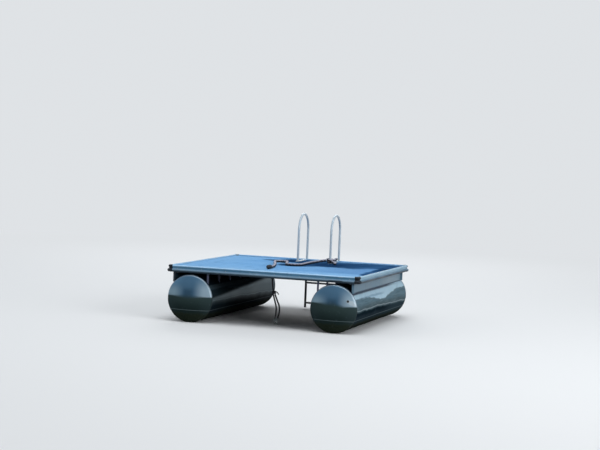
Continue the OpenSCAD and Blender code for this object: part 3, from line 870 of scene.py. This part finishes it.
def add_bolt(shape, place, direction, size, turn=0.0):
    """A washer and a six-sided head, standing on place. size is half the head's width."""
    stand = pointed(place, direction)
    washer_r, washer_t, top = size * 1.15, size * 0.16, size * 0.85
    shape.revolved([(0, 0), (washer_r, 0), (washer_r, washer_t), (0, washer_t)], stand, 20)
    rings = []
    for h, r in ((washer_t, size), (top - size * 0.12, size), (top, size * 0.86)):
        rings.append([stand @ around(r, turn + a, h) for a in turns(6)])
    shape.rings(rings)


def add_screw(shape, place, direction, size):
    """A domed screw head with the radius size."""
    height = size * 0.45
    dome_line = [(size * math.cos(a), height * math.sin(a)) for a in (0, 0.4, 0.8, 1.2)]
    shape.revolved([(0, 0)] + dome_line + [(0, height)], pointed(place, direction), 14)


def flat(x, y):
    return 0.0


def slab_rings(low, high, edge, rise=flat, across=24, along=100):
    """A sheet with rounded upper edges: rings across X, one after another along Y. rise lifts its top."""
    arc = spaced(0, math.pi / 2, 3)
    stops = [(low.y + edge * (1 - math.cos(a)), edge * (1 - math.sin(a))) for a in arc]
    middle = [(low.y + edge + (high.y - low.y - 2 * edge) * i / along, 0.0) for i in range(1, along)]
    ends = [(high.y - (y - low.y), inset) for y, inset in reversed(stops)]
    rings = []
    for y, inset in stops + middle + ends:
        top, left, right = high.z - inset, low.x + inset, high.x - inset
        edge_line = [(edge * (1 - math.cos(a)), top - edge + edge * math.sin(a)) for a in arc]
        ring = [(left, y, low.z)]
        ring += [(left + x, y, z) for x, z in edge_line]
        for i in range(1, across):
            x = left + edge + (right - left - 2 * edge) * i / across
            ring.append((x, y, top + rise(x, y)))
        ring += [(right - x, y, z) for x, z in reversed(edge_line)]
        ring.append((right, y, low.z))
        rings.append([Vector(p) for p in reversed(ring)])
    return rings


# Lines

ROPE_PITCH = 3.4  # length of one turn of a rope's strands, in diameters


def laid_line(name, route, diameter, first_side, finish, replaces, far_end, going):
    """A rope along its route, from its first point on. A bare end is drawn in, as a whipped end is."""
    stops = smooth_route(route, diameter * 0.22)
    length = sum((b - a).length for a, b in zip(stops, stops[1:]))
    laid = rope_reach(diameter, diameter * ROPE_PITCH)

    def reach(along, turn):
        left = (length - along) / (0.4 * diameter)
        drawn_in = math.sqrt(max(0.05, 1 - (1 - left) ** 2)) if far_end == "bare" and left < 1 else 1.0
        return laid(along, turn) * drawn_in

    line = Shape().rings(tube_rings(stops, reach, 24, first_side)).piece(name, finish, "rope", replaces)


def coil_stops(centre, radius, coils, rise, start=0.0):
    """Stops of a coil that climbs by rise along Z, from the angle start."""
    steps = 28
    count = round(coils * steps)
    turned = spaced(start, start + 2 * math.pi * count / steps, count)
    return [Vector(centre) + around(radius, a, h) for a, h in zip(turned, spaced(0, rise, count))]


def deck_line_knot():
    """Two turns round the ladder's foot, and a part that crosses them on the outside."""
    low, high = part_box("deck_line_knot")
    centre = (low + high) / 2
    height = high.z - low.z
    rope = (high.x - low.x) / 2 - LADDER_R - 0.0005
    radius = LADDER_R + rope / 2
    shape = Shape()
    coil = coil_stops((centre.x, centre.y, low.z + rope / 2), radius, 1.9, height - rope, start=3.4)
    shape.rings(tube_rings(coil, rope_reach(rope, rope * ROPE_PITCH), 20))
    thin = rope * 0.7
    outside = radius + rope * 0.3
    half = (height - thin) / 2
    heights = [half * math.cos(a) for a in spaced(0, math.pi, 30)]
    cross = [centre + around(outside, a, h) for a, h in zip(spaced(-2.6, 0.4, 30), heights)]
    shape.rings(tube_rings(cross, rope_reach(thin, thin * ROPE_PITCH), 20))
    return shape.piece("deck_line_hitch", "rope", "rope", ["deck_line_knot"])


def deck_line_stopper():
    """The line's end, wound round itself as a barrel knot."""
    low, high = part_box("deck_line_end")
    outer = (high.z - low.z) / 2
    length, rope = 0.14, 0.022
    heading = Vector(DECK_LINE[-1]) - Vector(DECK_LINE[-2])
    heading.z = 0
    heading.normalize()
    start = Vector(DECK_LINE[-1])
    start.z = low.z + outer
    stand = pointed(start, heading)
    shape = Shape()
    coil = [stand @ p for p in coil_stops((0, 0, rope / 2), outer - rope / 2, 5.4, length - rope)]
    shape.rings(tube_rings(coil, rope_reach(rope, rope * ROPE_PITCH), 20, heading))
    core = [(0, 0.004), (0.015, 0.002), (0.016, 0.01), (0.016, length - 0.006), (0.01, length), (0, length)]
    shape.revolved(core, stand, 24)
    return shape.piece("deck_line_stopper", "mooring", "rope", ["deck_line_end"])


def mooring_hitch():
    """A round knot with its tail sticking out to the right."""
    low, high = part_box("mooring_knot")
    centre = (low + high) / 2
    size, tall = 0.006076, 0.0125
    stops = []
    for t in turns(90):
        stops.append(centre + Vector((
            size * (math.sin(t) + 2 * math.sin(2 * t)),
            -size * (math.cos(t) - 2 * math.cos(2 * t)),
            -tall * math.sin(3 * t),
        )))
    shape = Shape()
    knot_reach = rope_reach(MOORING_D, MOORING_D * 3.2)
    shape.rings(tube_rings(stops, knot_reach, 18, closed=True), loop=True)
    tail = [(0, 0, 0), (0.03, -0.004, 0.008), (0.052, -0.006, -0.006), (0.062, -0.006, -0.028)]
    tail_stops = smooth_route([centre + Vector(p) for p in tail], 0.005)
    shape.rings(tube_rings(tail_stops, rope_reach(0.014, 0.05), 16))
    return shape.piece("mooring_hitch", "mooring", "rope", ["mooring_knot"])


def mooring_eye_loop():
    """A loop of the rope through the eye's hole, closed under the lug."""
    rope, half_y, half_z = 0.015, 0.0155, 0.0165
    low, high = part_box("mooring_eye")
    centre = Vector(((low.x + high.x) / 2, (low.y + high.y) / 2, low.z + 0.0045))
    stops = [centre + Vector((0, half_y * math.cos(a), half_z * math.sin(a))) for a in turns(48)]
    rings = tube_rings(stops, rope_reach(rope, rope * 3.1), 18, (1, 0, 0), closed=True)
    return Shape().rings(rings, loop=True).piece("mooring_eye_loop", "mooring", "rope")


def mooring_ferrules():
    """A pressed collar on the lower end of each strand, standing on the link."""
    link_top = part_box("mooring_link")[1].z
    shape = Shape()
    outline = [(0, 0.0002), (0.0132, 0.0002), (0.0142, 0.002), (0.0142, 0.02), (0.0132, 0.023), (0, 0.023)]
    for route in (MOORING_STRAND, MOORING_RETURN):
        x, y, z = route[-1]
        shape.revolved(outline, pointed((x, y, link_top), (0, 0, 1)), 28)
    return shape.piece("mooring_ferrules", "link", "frame_metal")


knot = deck_line_knot()
stopper = deck_line_stopper()
laid_line("deck_line_rope", DECK_LINE, DECK_LINE_D, (0, 0, 1), "rope", ["deck_line"],
          "knot", [knot, stopper])
laid_line("deck_line_tail_near", TAIL_FRONT, DECK_LINE_D, (0, 0, 1), "rope", ["deck_line_tail_front"],
          "bare", [])
laid_line("deck_line_tail_far", TAIL_REAR, DECK_LINE_D, (0, 0, 1), "rope", ["deck_line_tail_rear"],
          "bare", [])
hitch = mooring_hitch()
laid_line("mooring_rope", MOORING_LINE, MOORING_D, (1, 0, 0), "mooring", ["mooring_line"],
          "knot", [hitch, mooring_eye_loop()])
link = frame["nodes"]["mooring_link"]
laid_line("mooring_strand_front", MOORING_STRAND, MOORING_D, (1, 0, 0), "mooring", ["mooring_loop"],
          "fitting", [link, mooring_ferrules()])
laid_line("mooring_strand_rear", MOORING_RETURN, MOORING_D, (1, 0, 0), "mooring", ["mooring_loop"],
          "fitting", [link])

# Pontoons

TUBE_SIDES = 144
TUBE_STATIONS = 150
END_FACE = 0.03  # width in metres of the flat ring at each end of a tube

# Dents: side, middle along Y in metres, middle angle above level in degrees, half length in metres,
# half height in degrees, depth in metres
DENTS = [
    ("right", 0.34, 12, 0.2, 22, 0.007),
    ("right", -0.5, 18, 0.3, 26, 0.006),
    ("right", 0.86, 24, 0.18, 20, 0.008),
    ("right", -0.98, 6, 0.12, 14, 0.003),
    ("right", -0.06, -18, 0.22, 18, 0.005),
    ("left", -0.3, 10, 0.3, 20, 0.005),
    ("left", 0.7, 16, 0.22, 24, 0.006),
    ("left", -0.2, 172, 0.35, 18, 0.006),
    ("left", 0.6, 176, 0.25, 20, 0.006),
    ("right", 0.2, 170, 0.3, 20, 0.005),
]


def dent_depth(side, y, turn):
    """How far the tube is pushed in at a place along Y and an angle above level, on its outer side."""
    depth = 0.0
    for where, middle, angle, length, height, deep in DENTS:
        if where == side:
            away = (math.degrees(turn) - angle + 180) % 360 - 180
            depth += deep * math.exp(-(((y - middle) / length) ** 2) - (away / height) ** 2)
    shift = 3 if side == "left" else 0
    ripple = noise.noise(Vector((math.cos(turn) * 1.2, y * 2.2, math.sin(turn) * 1.2 + shift)))
    depth += 0.0016 * (1 + ripple)
    fade = min(1.0, (TUBE_HALF - abs(y)) / 0.12)
    return depth * max(0.0, fade)


def tube_ring(out, y, radii):
    """Points round a pontoon's axis at a place along Y. out is 1 on the right and minus 1 on the left."""
    ring = []
    for turn, r in zip(turns(TUBE_SIDES), radii):
        ring.append(Vector((out * (TUBE_X + r * math.cos(turn)), y, AXIS_Z + r * math.sin(turn))))
    return ring[::-1] if out > 0 else ring


def pontoon_tube(side):
    """The dented tube, closed by a straight inner wall."""
    out = 1 if side == "right" else -1
    rings = []
    for y in spaced(-TUBE_HALF, TUBE_HALF, TUBE_STATIONS):
        rings.append(tube_ring(out, y, [TUBE_R - dent_depth(side, y, turn) for turn in turns(TUBE_SIDES)]))
    for y in (TUBE_HALF, -TUBE_HALF):
        rings.append(tube_ring(out, y, [TUBE_R - END_FACE] * TUBE_SIDES))
    node = "pontoon_" + side
    Shape().rings(rings, loop=True).piece(node + "_tube", "pontoon", "pontoon_metal", [node])


def dish_outline(inset):
    """Outline of a dished end from its rim to its middle: a tight knuckle, then the wide crown."""
    turn = math.asin((TUBE_R - KNUCKLE_R) / (CROWN_R - KNUCKLE_R))
    depth = CROWN_R - math.sqrt((CROWN_R - KNUCKLE_R) ** 2 - (TUBE_R - KNUCKLE_R) ** 2)
    knuckle, crown = KNUCKLE_R - inset, CROWN_R - inset
    outline = []
    for a in spaced(0, math.pi / 2 - turn, 8):
        outline.append((TUBE_R - KNUCKLE_R + knuckle * math.cos(a), knuckle * math.sin(a)))
    for a in spaced(turn, 0, 26)[1:]:
        outline.append((crown * math.sin(a), depth - CROWN_R + crown * math.cos(a)))
    return outline


def dome(end, side):
    node = f"dome_{end}_{side}"
    out = -1 if end == "front" else 1
    low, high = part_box(node)
    stand = pointed(((low.x + high.x) / 2, out * TUBE_HALF, AXIS_Z), (0, out, 0))
    outline = dish_outline(0) + dish_outline(DISH_T)[::-1]
    Shape().revolved(outline, stand, 128).piece(node + "_dish", "dome", "pontoon_metal", [node], angle=50)


def joist_places():
    return spaced(JOIST_FRONT, JOIST_REAR, JOIST_COUNT - 1)


def on_tube(side, offset, y):
    """A place just above a pontoon, offset outwards from its axis. side is 1 on the right."""
    return Vector((side * (TUBE_X + offset), y, AXIS_Z + math.sqrt(TUBE_R**2 - offset**2) + 0.0015))


def end_weld(shape, x, y):
    """A bead round one end of a pontoon, kept above its underside."""
    stops = round_stops((x, y, AXIS_Z), TUBE_R - 0.0015, 220, "y")
    rings = tube_rings(stops, bead_reach(0.0052, 0.009), 8, (0, 1, 0), closed=True)
    for ring in rings:
        for p in ring:
            p.z = max(p.z, 0.0)
    shape.rings(rings, loop=True)


def riser_welds(shape, side):
    """A bead along each side of an outer riser's foot."""
    low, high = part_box("riser_right_outer")
    end, spacing = 0.01, 0.004
    count = round((high.y - low.y - 2 * end) / spacing)
    for offset in (RISER_OUT + 0.0015, RISER_OUT - RISER_T - 0.0015):
        stops = [on_tube(side, offset, low.y + end + i * spacing) for i in range(count)]
        shape.rings(tube_rings(stops, bead_reach(0.0045, 0.012), 6))


def post_welds(shape, side, y):
    """A bead across the outer face of a post's foot, and one along each side of its stem."""
    face = y + math.copysign(POST_D / 2 + 0.001, y if y > 0.01 else -1)
    shares = spaced(-0.5, 0.5, 8)
    stops = [on_tube(side, -(RISER_OUT + POST_W * share), face) for share in shares]
    shape.rings(tube_rings(stops, bead_reach(0.0042, 0.009), 6))
    beside = RISER_T / 2 + 0.001
    for offset in (RISER_OUT - beside, RISER_OUT + beside):
        stops = [on_tube(side, -offset, y + share * POST_D * 0.8) for share in shares]
        shape.rings(tube_rings(stops, bead_reach(0.0036, 0.009), 6))


def pontoon_welds():
    shape = Shape()
    for x in (-TUBE_X, TUBE_X):
        for y in (-TUBE_HALF, TUBE_HALF):
            end_weld(shape, x, y)
    for side in (-1, 1):
        riser_welds(shape, side)
        for y in joist_places():
            post_welds(shape, side, y)
    shape.piece("pontoon_welds", "weld", "pontoon_metal")


def air_plug():
    """A round flange with a ribbed cap, square to the dished end."""
    centre = Vector((TUBE_X, -TUBE_HALF - dish_outline(0)[-1][1] + CROWN_R, AXIS_Z))
    low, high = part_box("air_plug")
    out = ((low + high) / 2 - centre).normalized()
    stand = pointed(centre + out * CROWN_R, out)
    flange_r, flange_t, rib = 0.0155, 0.0025, 0.0007
    shape = Shape()
    shape.revolved([(0, 0), (flange_r, 0), (flange_r, flange_t), (0, flange_t)], stand, 32)
    rings = []
    for h, r in ((flange_t, 0.0105), (0.0075, 0.0105), (0.009, 0.009)):
        rings.append([stand @ around(r + rib * (k % 2), a, h) for k, a in enumerate(turns(36))])
    shape.rings(rings)
    shape.piece("air_plug_cap", "plug", "plug_plastic", ["air_plug"])


for side in ("left", "right"):
    pontoon_tube(side)
    for end in ("front", "rear"):
        dome(end, side)
pontoon_welds()
air_plug()

# Deck


def covering_rise(x, y):
    """The covering's slight unevenness, in metres."""
    return 0.0009 * (noise.noise(Vector((x * 5, y * 5, 0))) - 0.4) - 0.0004


def deck_covering():
    """One glued strip of covering on each deck panel."""
    gap = 0.001
    width = (deck_high.x - deck_low.x + 2 * gap) / PANEL_COUNT
    shape = Shape()
    for i in range(PANEL_COUNT):
        left = deck_low.x - gap + i * width
        low = Vector((left + gap, deck_low.y, deck_low.z))
        high = Vector((left + width - gap, deck_high.y, deck_high.z))
        shape.rings(slab_rings(low, high, 0.002, covering_rise, across=34, along=130))
    shape.piece("covering_strips", "covering", "covering", ["deck_covering"])


deck_covering()

# Rub rails and corner caps


def rail_outline(grow=0.0, steps=12):
    """Outline of the rail: flat on its inner side, a round nose below and a bead above."""
    nose_x = RAIL_DEPTH - NOSE_R
    bead_x = RAIL_DEPTH - BEAD_BACK - BEAD_R
    bead_z = RAIL_H - BEAD_R
    groove_x = RAIL_DEPTH - GROOVE_DEPTH
    soft = 0.0025
    half_turn = math.pi / 2

    def arc(x, z, r, start):
        return [(x + r * math.cos(a), z + r * math.sin(a)) for a in spaced(start, half_turn, steps)]

    start = -math.acos((groove_x - bead_x) / (BEAD_R + grow))
    wall_top = bead_z + (BEAD_R + grow) * math.sin(start)
    outline = [(0.0, 0.0)]
    if grow == 0:
        outline += [(groove_x, 0.0), (groove_x, NOSE_Z - NOSE_R)]
    outline += arc(nose_x, NOSE_Z, NOSE_R + grow, -half_turn)
    outline += [(groove_x, NOSE_Z + NOSE_R + grow + soft), (groove_x, wall_top - soft)]
    outline += arc(bead_x, bead_z, BEAD_R + grow, start + 0.12)
    outline += [(soft, RAIL_H + grow), (0.0, RAIL_H + grow - soft)]
    return outline


def rail(node, turn):
    stand = Matrix.Rotation(math.radians(turn), 4, "Z")
    rings = []
    for y in spaced(RAIL_HALF, -RAIL_HALF, 60):
        rings.append([stand @ Vector((RAIL_FACE + x, y, RAIL_Z + z)) for x, z in rail_outline()])
    Shape().rings(rings).piece(node + "_section", "rail", "rail_metal", [node], angle=30)


def cap_stations():
    """Stops along a sleeve of a cap, from the corner on: how far back, and how much it stands out."""
    sleeve = RAIL_FACE - RAIL_HALF
    base, rib = 0.0015, 0.0035
    return [(0.0, base), (0.0015, base + 0.0006), (0.0025, rib), (0.0095, rib), (0.011, base),
            (0.0235, base), (0.025, rib), (0.032, rib), (0.0335, base), (sleeve, base)]


def corner_cap(node, x_side, y_side):
    """A moulded cap: a ribbed sleeve on each rail, and the rail's outline swept round the corner."""
    turn = {(1, 1): 0, (1, -1): -90, (-1, 1): 90, (-1, -1): 180}[(x_side, y_side)]
    stand = Matrix.Translation((x_side * RAIL_FACE, y_side * RAIL_FACE, RAIL_Z))
    stand = stand @ Matrix.Rotation(math.radians(turn), 4, "Z")
    stations = cap_stations()
    base = stations[0][1]
    rings = []
    for back, grow in reversed(stations):
        rings.append([stand @ Vector((x, -back, z)) for x, z in rail_outline(grow)])
    for a in spaced(0, math.pi / 2, 16)[1:-1]:
        rings.append([stand @ around(x, a, z) for x, z in rail_outline(base)])
    for back, grow in stations:
        rings.append([stand @ Vector((-back, x, z)) for x, z in rail_outline(grow)])
    finish = "rubber" if y_side < 0 else "rubber_bleached_glare"
    shape = Shape().rings([ring[::-1] for ring in rings])
    shape.piece(node + "_moulding", finish, "cap_rubber", [node], angle=30)


def rail_screws():
    """Screws along the groove of each rail."""
    shape = Shape()
    z = RAIL_Z + (NOSE_Z + NOSE_R + RAIL_H - 2 * BEAD_R) / 2 + 0.001
    face = RAIL_FACE + RAIL_DEPTH - GROOVE_DEPTH
    count, spacing = 8, 0.33
    for turn in (0, 90, 180, 270):
        stand = Matrix.Rotation(math.radians(turn), 4, "Z")
        for i in range(count):
            place = stand @ Vector((face, (i - (count - 1) / 2) * spacing, z))
            add_screw(shape, place, stand @ Vector((1, 0, 0)), 0.005)
    shape.piece("rail_screws", "steel", "frame_metal")


for node, turn in (("rail_front", -90), ("rail_rear", 90), ("rail_left", 180), ("rail_right", 0)):
    rail(node, turn)
for y_name, y_side in (("front", -1), ("rear", 1)):
    for x_name, x_side in (("left", -1), ("right", 1)):
        corner_cap(f"corner_cap_{y_name}_{x_name}", x_side, y_side)
rail_screws()

# Ladder


def ladder_tube(side):
    """One bent tube: up from its base, over in a hoop and down behind the deck."""
    x = LADDER_X[side]
    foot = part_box("ladder_base_" + side)[1].z
    stops = [Vector((x, NEAR_Y, z)) for z in spaced(foot, HOOP_Z, 12)[:-1]]
    hoop_y = (NEAR_Y + FAR_Y) / 2
    for a in spaced(math.pi, 0, 48):
        stops.append(Vector((x, hoop_y + HOOP_R * math.cos(a), HOOP_Z + HOOP_R * math.sin(a))))
    stops += [Vector((x, FAR_Y, z)) for z in spaced(HOOP_Z, LADDER_FOOT_Z, 20)[1:]]
    shape = Shape().rings(tube_rings(stops, LADDER_R, 32, (1, 0, 0)))
    shape.piece(f"ladder_tube_{side}_bent", "ladder", "ladder_metal", ["ladder_tube_" + side])


def ladder_step(name):
    """A step with grooves along its tread and softened edges."""
    low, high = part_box("ladder_step_" + name)
    edge, soft = 0.003, 0.0006
    front, rear = low.y, high.y
    outline = [(front, low.z + edge), (front, high.z - edge), (front + edge, high.z)]
    for i in range(1, STEP_GROOVES + 1):
        groove_y = front + i * (rear - front) / (STEP_GROOVES + 1)
        half = STEP_GROOVE_W / 2
        outline += [(groove_y - half - soft, high.z), (groove_y - half, high.z - STEP_GROOVE_T),
                    (groove_y + half, high.z - STEP_GROOVE_T), (groove_y + half + soft, high.z)]
    outline += [(rear - edge, high.z), (rear, high.z - edge), (rear, low.z + edge),
                (rear - edge, low.z), (front + edge, low.z)]
    rings = [[Vector((x, y, z)) for y, z in reversed(outline)] for x in spaced(low.x, high.x, 24)]
    node = "ladder_step_" + name
    Shape().rings(rings).piece(node + "_tread", "ladder", "ladder_metal", [node], angle=30)


def ladder_base(side):
    """A flat bar with rounded edges, bolted down in three places, with a collar round the hoop's foot."""
    node = "ladder_base_" + side
    low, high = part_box(node)
    bar = Shape().rings(slab_rings(low, high, 0.0015, across=4, along=12))
    bar.piece(node + "_bar", "ladder", "ladder_metal", [node], angle=30)
    shape = Shape()
    x = (low.x + high.x) / 2
    for share in (0.32, 0.62, 0.9):
        y = low.y + (high.y - low.y) * share
        add_bolt(shape, (x, y, high.z), (0, 0, 1), 0.0085, share)
    inner = LADDER_R - 0.001
    collar = [(inner, 0), (LADDER_R + 0.009, 0), (LADDER_R + 0.007, 0.004), (inner, 0.008)]
    shape.revolved(collar, pointed((x, NEAR_Y, high.z), (0, 0, 1)), 40)
    shape.piece(node + "_fixings", "steel", "ladder_metal")


def ladder_fixings():
    """Weld beads where the steps meet the tubes, and the clamps' bolts."""
    shape = Shape()
    for side in ("left", "right"):
        x = LADDER_X[side]
        for name in ("upper", "lower"):
            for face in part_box("ladder_step_" + name):
                stops = round_stops((x, FAR_Y, face.z), LADDER_R + 0.001, 60, "z")
                rings = tube_rings(stops, bead_reach(0.0032, 0.006), 8, (0, 0, 1), closed=True)
                shape.rings(rings, loop=True)
        low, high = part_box("ladder_clamp_" + side)
        for share in (0.25, 0.75):
            z = low.z + (high.z - low.z) * share
            add_bolt(shape, (x, high.y - 0.0008, z), (0, 1, 0), 0.006)
    shape.piece("ladder_fixings", "steel", "ladder_metal")


for side in ("left", "right"):
    ladder_tube(side)
    ladder_base(side)
for name in ("upper", "lower"):
    ladder_step(name)
ladder_fixings()

# Frame fixings

# The bolts through a riser's flange: distance outwards from the pontoon's axis and shift along Y,
# and how far the bolts through a post's head lie beside its middle, in metres
FLANGE_BOLTS = [(0.195, -0.007), (0.212, 0.007)]
POST_BOLT_BESIDE = 0.0078


def frame_bolts():
    """Bolts through the outer risers' flanges and the posts' heads into the joists."""
    shape = Shape()
    below = FRAME_Z - RISER_T
    for side in (-1, 1):
        for y in joist_places():
            for reach, shift in FLANGE_BOLTS:
                add_bolt(shape, (side * (TUBE_X + reach), y + shift, below), (0, 0, -1), 0.005)
            for reach in (RISER_OUT - POST_BOLT_BESIDE, RISER_OUT + POST_BOLT_BESIDE):
                add_bolt(shape, (side * (TUBE_X - reach), y, below), (0, 0, -1), 0.004)
    shape.piece("frame_bolts", "steel", "frame_metal")


frame_bolts()

# CAD nodes that stay: the finish of each, and how wide its edges are softened, in metres

KEPT = {
    "riser_left_outer": ("riser", 0.0008),
    "riser_left_inner": ("post", 0.0006),
    "riser_right_inner": ("post", 0.0006),
    "riser_right_outer": ("riser", 0.0008),
    "joist_front": ("frame", 0.0008),
    "joists_middle": ("frame", 0.0008),
    "joist_rear": ("frame", 0.0008),
    "deck_panels": ("panel", 0.0015),
    "ladder_clamp_left": ("ladder", 0.001),
    "ladder_clamp_right": ("ladder", 0.001),
    "mooring_eye": ("frame", 0.001),
    "mooring_link": ("link", 0.002),
}
for node, (finish, width) in KEPT.items():
    part = frame["nodes"][node]
    part.data.materials.clear()
    part.data.materials.append(FINISH[finish])
    weld = part.modifiers.new("weld", "WELD")
    weld.merge_threshold = 0.00002
    bevel = part.modifiers.new("soft_edges", "BEVEL")
    bevel.width = width
    bevel.segments = 2
    bevel.limit_method = "ANGLE"
    bevel.angle_limit = math.radians(40)
    bevel.harden_normals = False

# Floor, light and camera

# Linear colours. The floor looks paler to the camera than it is for the light that it throws back.
FLOOR_SEEN = (0.76, 0.78, 0.80, 1.0)
FLOOR_LIT = (0.34, 0.35, 0.36, 1.0)
BACKDROP = (0.74, 0.765, 0.79, 1.0)
OVERHEAD = (0.3, 0.38, 0.46, 1.0)
WORLD_LIGHT = (0.93, 0.97, 1.0, 1.0)
WORLD_STRENGTH = 0.34
FLOOR_HALF = 60.0
FLOOR_CUTS = 12

# The view fitted to the photo: degrees, metres and millimetres
CAMERA_AZIMUTH = 17.4032
CAMERA_ELEVATION = 2.8646
CAMERA_ROLL = 2.3859
CAMERA_PLACE = (6.4193, -20.2335, 2.3299)
CAMERA_LENS = 94.63
CAMERA_SENSOR = 36.0

# Lamps: name, azimuth, elevation, distance, width, height, power, in degrees, metres and watts
LAMPS = [
    ("soft_right", 68, 20, 18.0, 13.0, 7.0, 1500),
    ("soft_top", 20, 78, 20.0, 13.0, 13.0, 1900),
    ("soft_left", -70, 25, 18.0, 8.0, 6.0, 265),
    ("soft_rear", 195, 28, 18.0, 12.0, 7.0, 1000),
]


def floor_finish():
    """Plain and pale, and one with the backdrop far away."""
    f = Finish("floor_pale", roughness=0.85, specular=0.1)
    seen = f.seen()
    f.done(f.mix(seen, FLOOR_LIT, FLOOR_SEEN))
    far = f.times(f.step(f.length(f.place), 4.0, 18.0), seen)
    f.show(far, f.shader, f.add("Emission", {"Color": BACKDROP}), "Material Output")
    return f.material


def floor():
    """A wide flat sheet just under the raft."""
    count = FLOOR_CUTS + 1
    places = spaced(-FLOOR_HALF, FLOOR_HALF, FLOOR_CUTS)
    points = [(x, y, -0.0005) for y in places for x in places]
    corners = [i * count + k for i in range(FLOOR_CUTS) for k in range(FLOOR_CUTS)]
    faces = [(a, a + 1, a + count + 1, a + count) for a in corners]
    obj = new_object("floor", points, faces, floor_finish())


def world():
    """Even light on the object, and a backdrop that darkens a little upwards where it is seen."""
    made = bpy.data.worlds.new("studio")
    bpy.context.scene.world = made
    tree = Tree(made)
    light = tree.add("Background", {"Color": WORLD_LIGHT, "Strength": WORLD_STRENGTH})
    place = tree.add("TexCoord", {}).outputs["Generated"]
    ramp = tree.add("ValToRGB", {0: tree.add("SeparateXYZ", {0: place}).outputs["Z"]})
    for stop, (place, colour) in zip(ramp.color_ramp.elements, ((0.2, BACKDROP), (0.75, OVERHEAD))):
        stop.position = place
        stop.color = colour
    backdrop = tree.nodes["Background"]
    tree.feed(backdrop.inputs["Color"], ramp.outputs[0])
    tree.show(tree.seen(), light, backdrop, "World Output")


def direction(azimuth, elevation):
    """From the raft outwards. Azimuth 0 is in front of it and 90 to its right, in degrees."""
    a, e = math.radians(azimuth), math.radians(elevation)
    return Vector((math.sin(a) * math.cos(e), -math.cos(a) * math.cos(e), math.sin(e)))


def lamp(name, azimuth, elevation, distance, width, height, power):
    """A soft lamp that faces the raft."""
    away = direction(azimuth, elevation)
    data = bpy.data.lights.new(name, "AREA")
    data.shape = "RECTANGLE"
    data.size = width
    data.size_y = height
    data.energy = power
    obj = bpy.data.objects.new(name, data)
    obj.location = Vector((0, 0, 0.45)) + distance * away
    obj.rotation_mode = "QUATERNION"
    obj.rotation_quaternion = (-away).to_track_quat("-Z", "Y")
    bpy.context.scene.collection.objects.link(obj)


def camera():
    """The photo's view, fitted to points of the deck, the pontoons and the risers."""
    back = direction(CAMERA_AZIMUTH, CAMERA_ELEVATION)
    right = Vector((0, 0, 1)).cross(back).normalized()
    up = back.cross(right)
    roll = math.radians(CAMERA_ROLL)
    side = math.cos(roll) * right + math.sin(roll) * up
    above = -math.sin(roll) * right + math.cos(roll) * up
    data = bpy.data.cameras.new("camera")
    data.sensor_width = CAMERA_SENSOR
    data.sensor_fit = "HORIZONTAL"
    data.lens = CAMERA_LENS
    data.clip_start = 0.1
    data.clip_end = 300.0
    obj = bpy.data.objects.new("camera", data)
    turn = Matrix((side, above, back)).transposed().to_4x4()
    obj.matrix_world = Matrix.Translation(CAMERA_PLACE) @ turn
    bpy.context.scene.collection.objects.link(obj)
    bpy.context.scene.camera = obj


floor()
world()
for settings in LAMPS:
    lamp(*settings)
camera()
bpy.context.scene.view_settings.view_transform = "Standard"
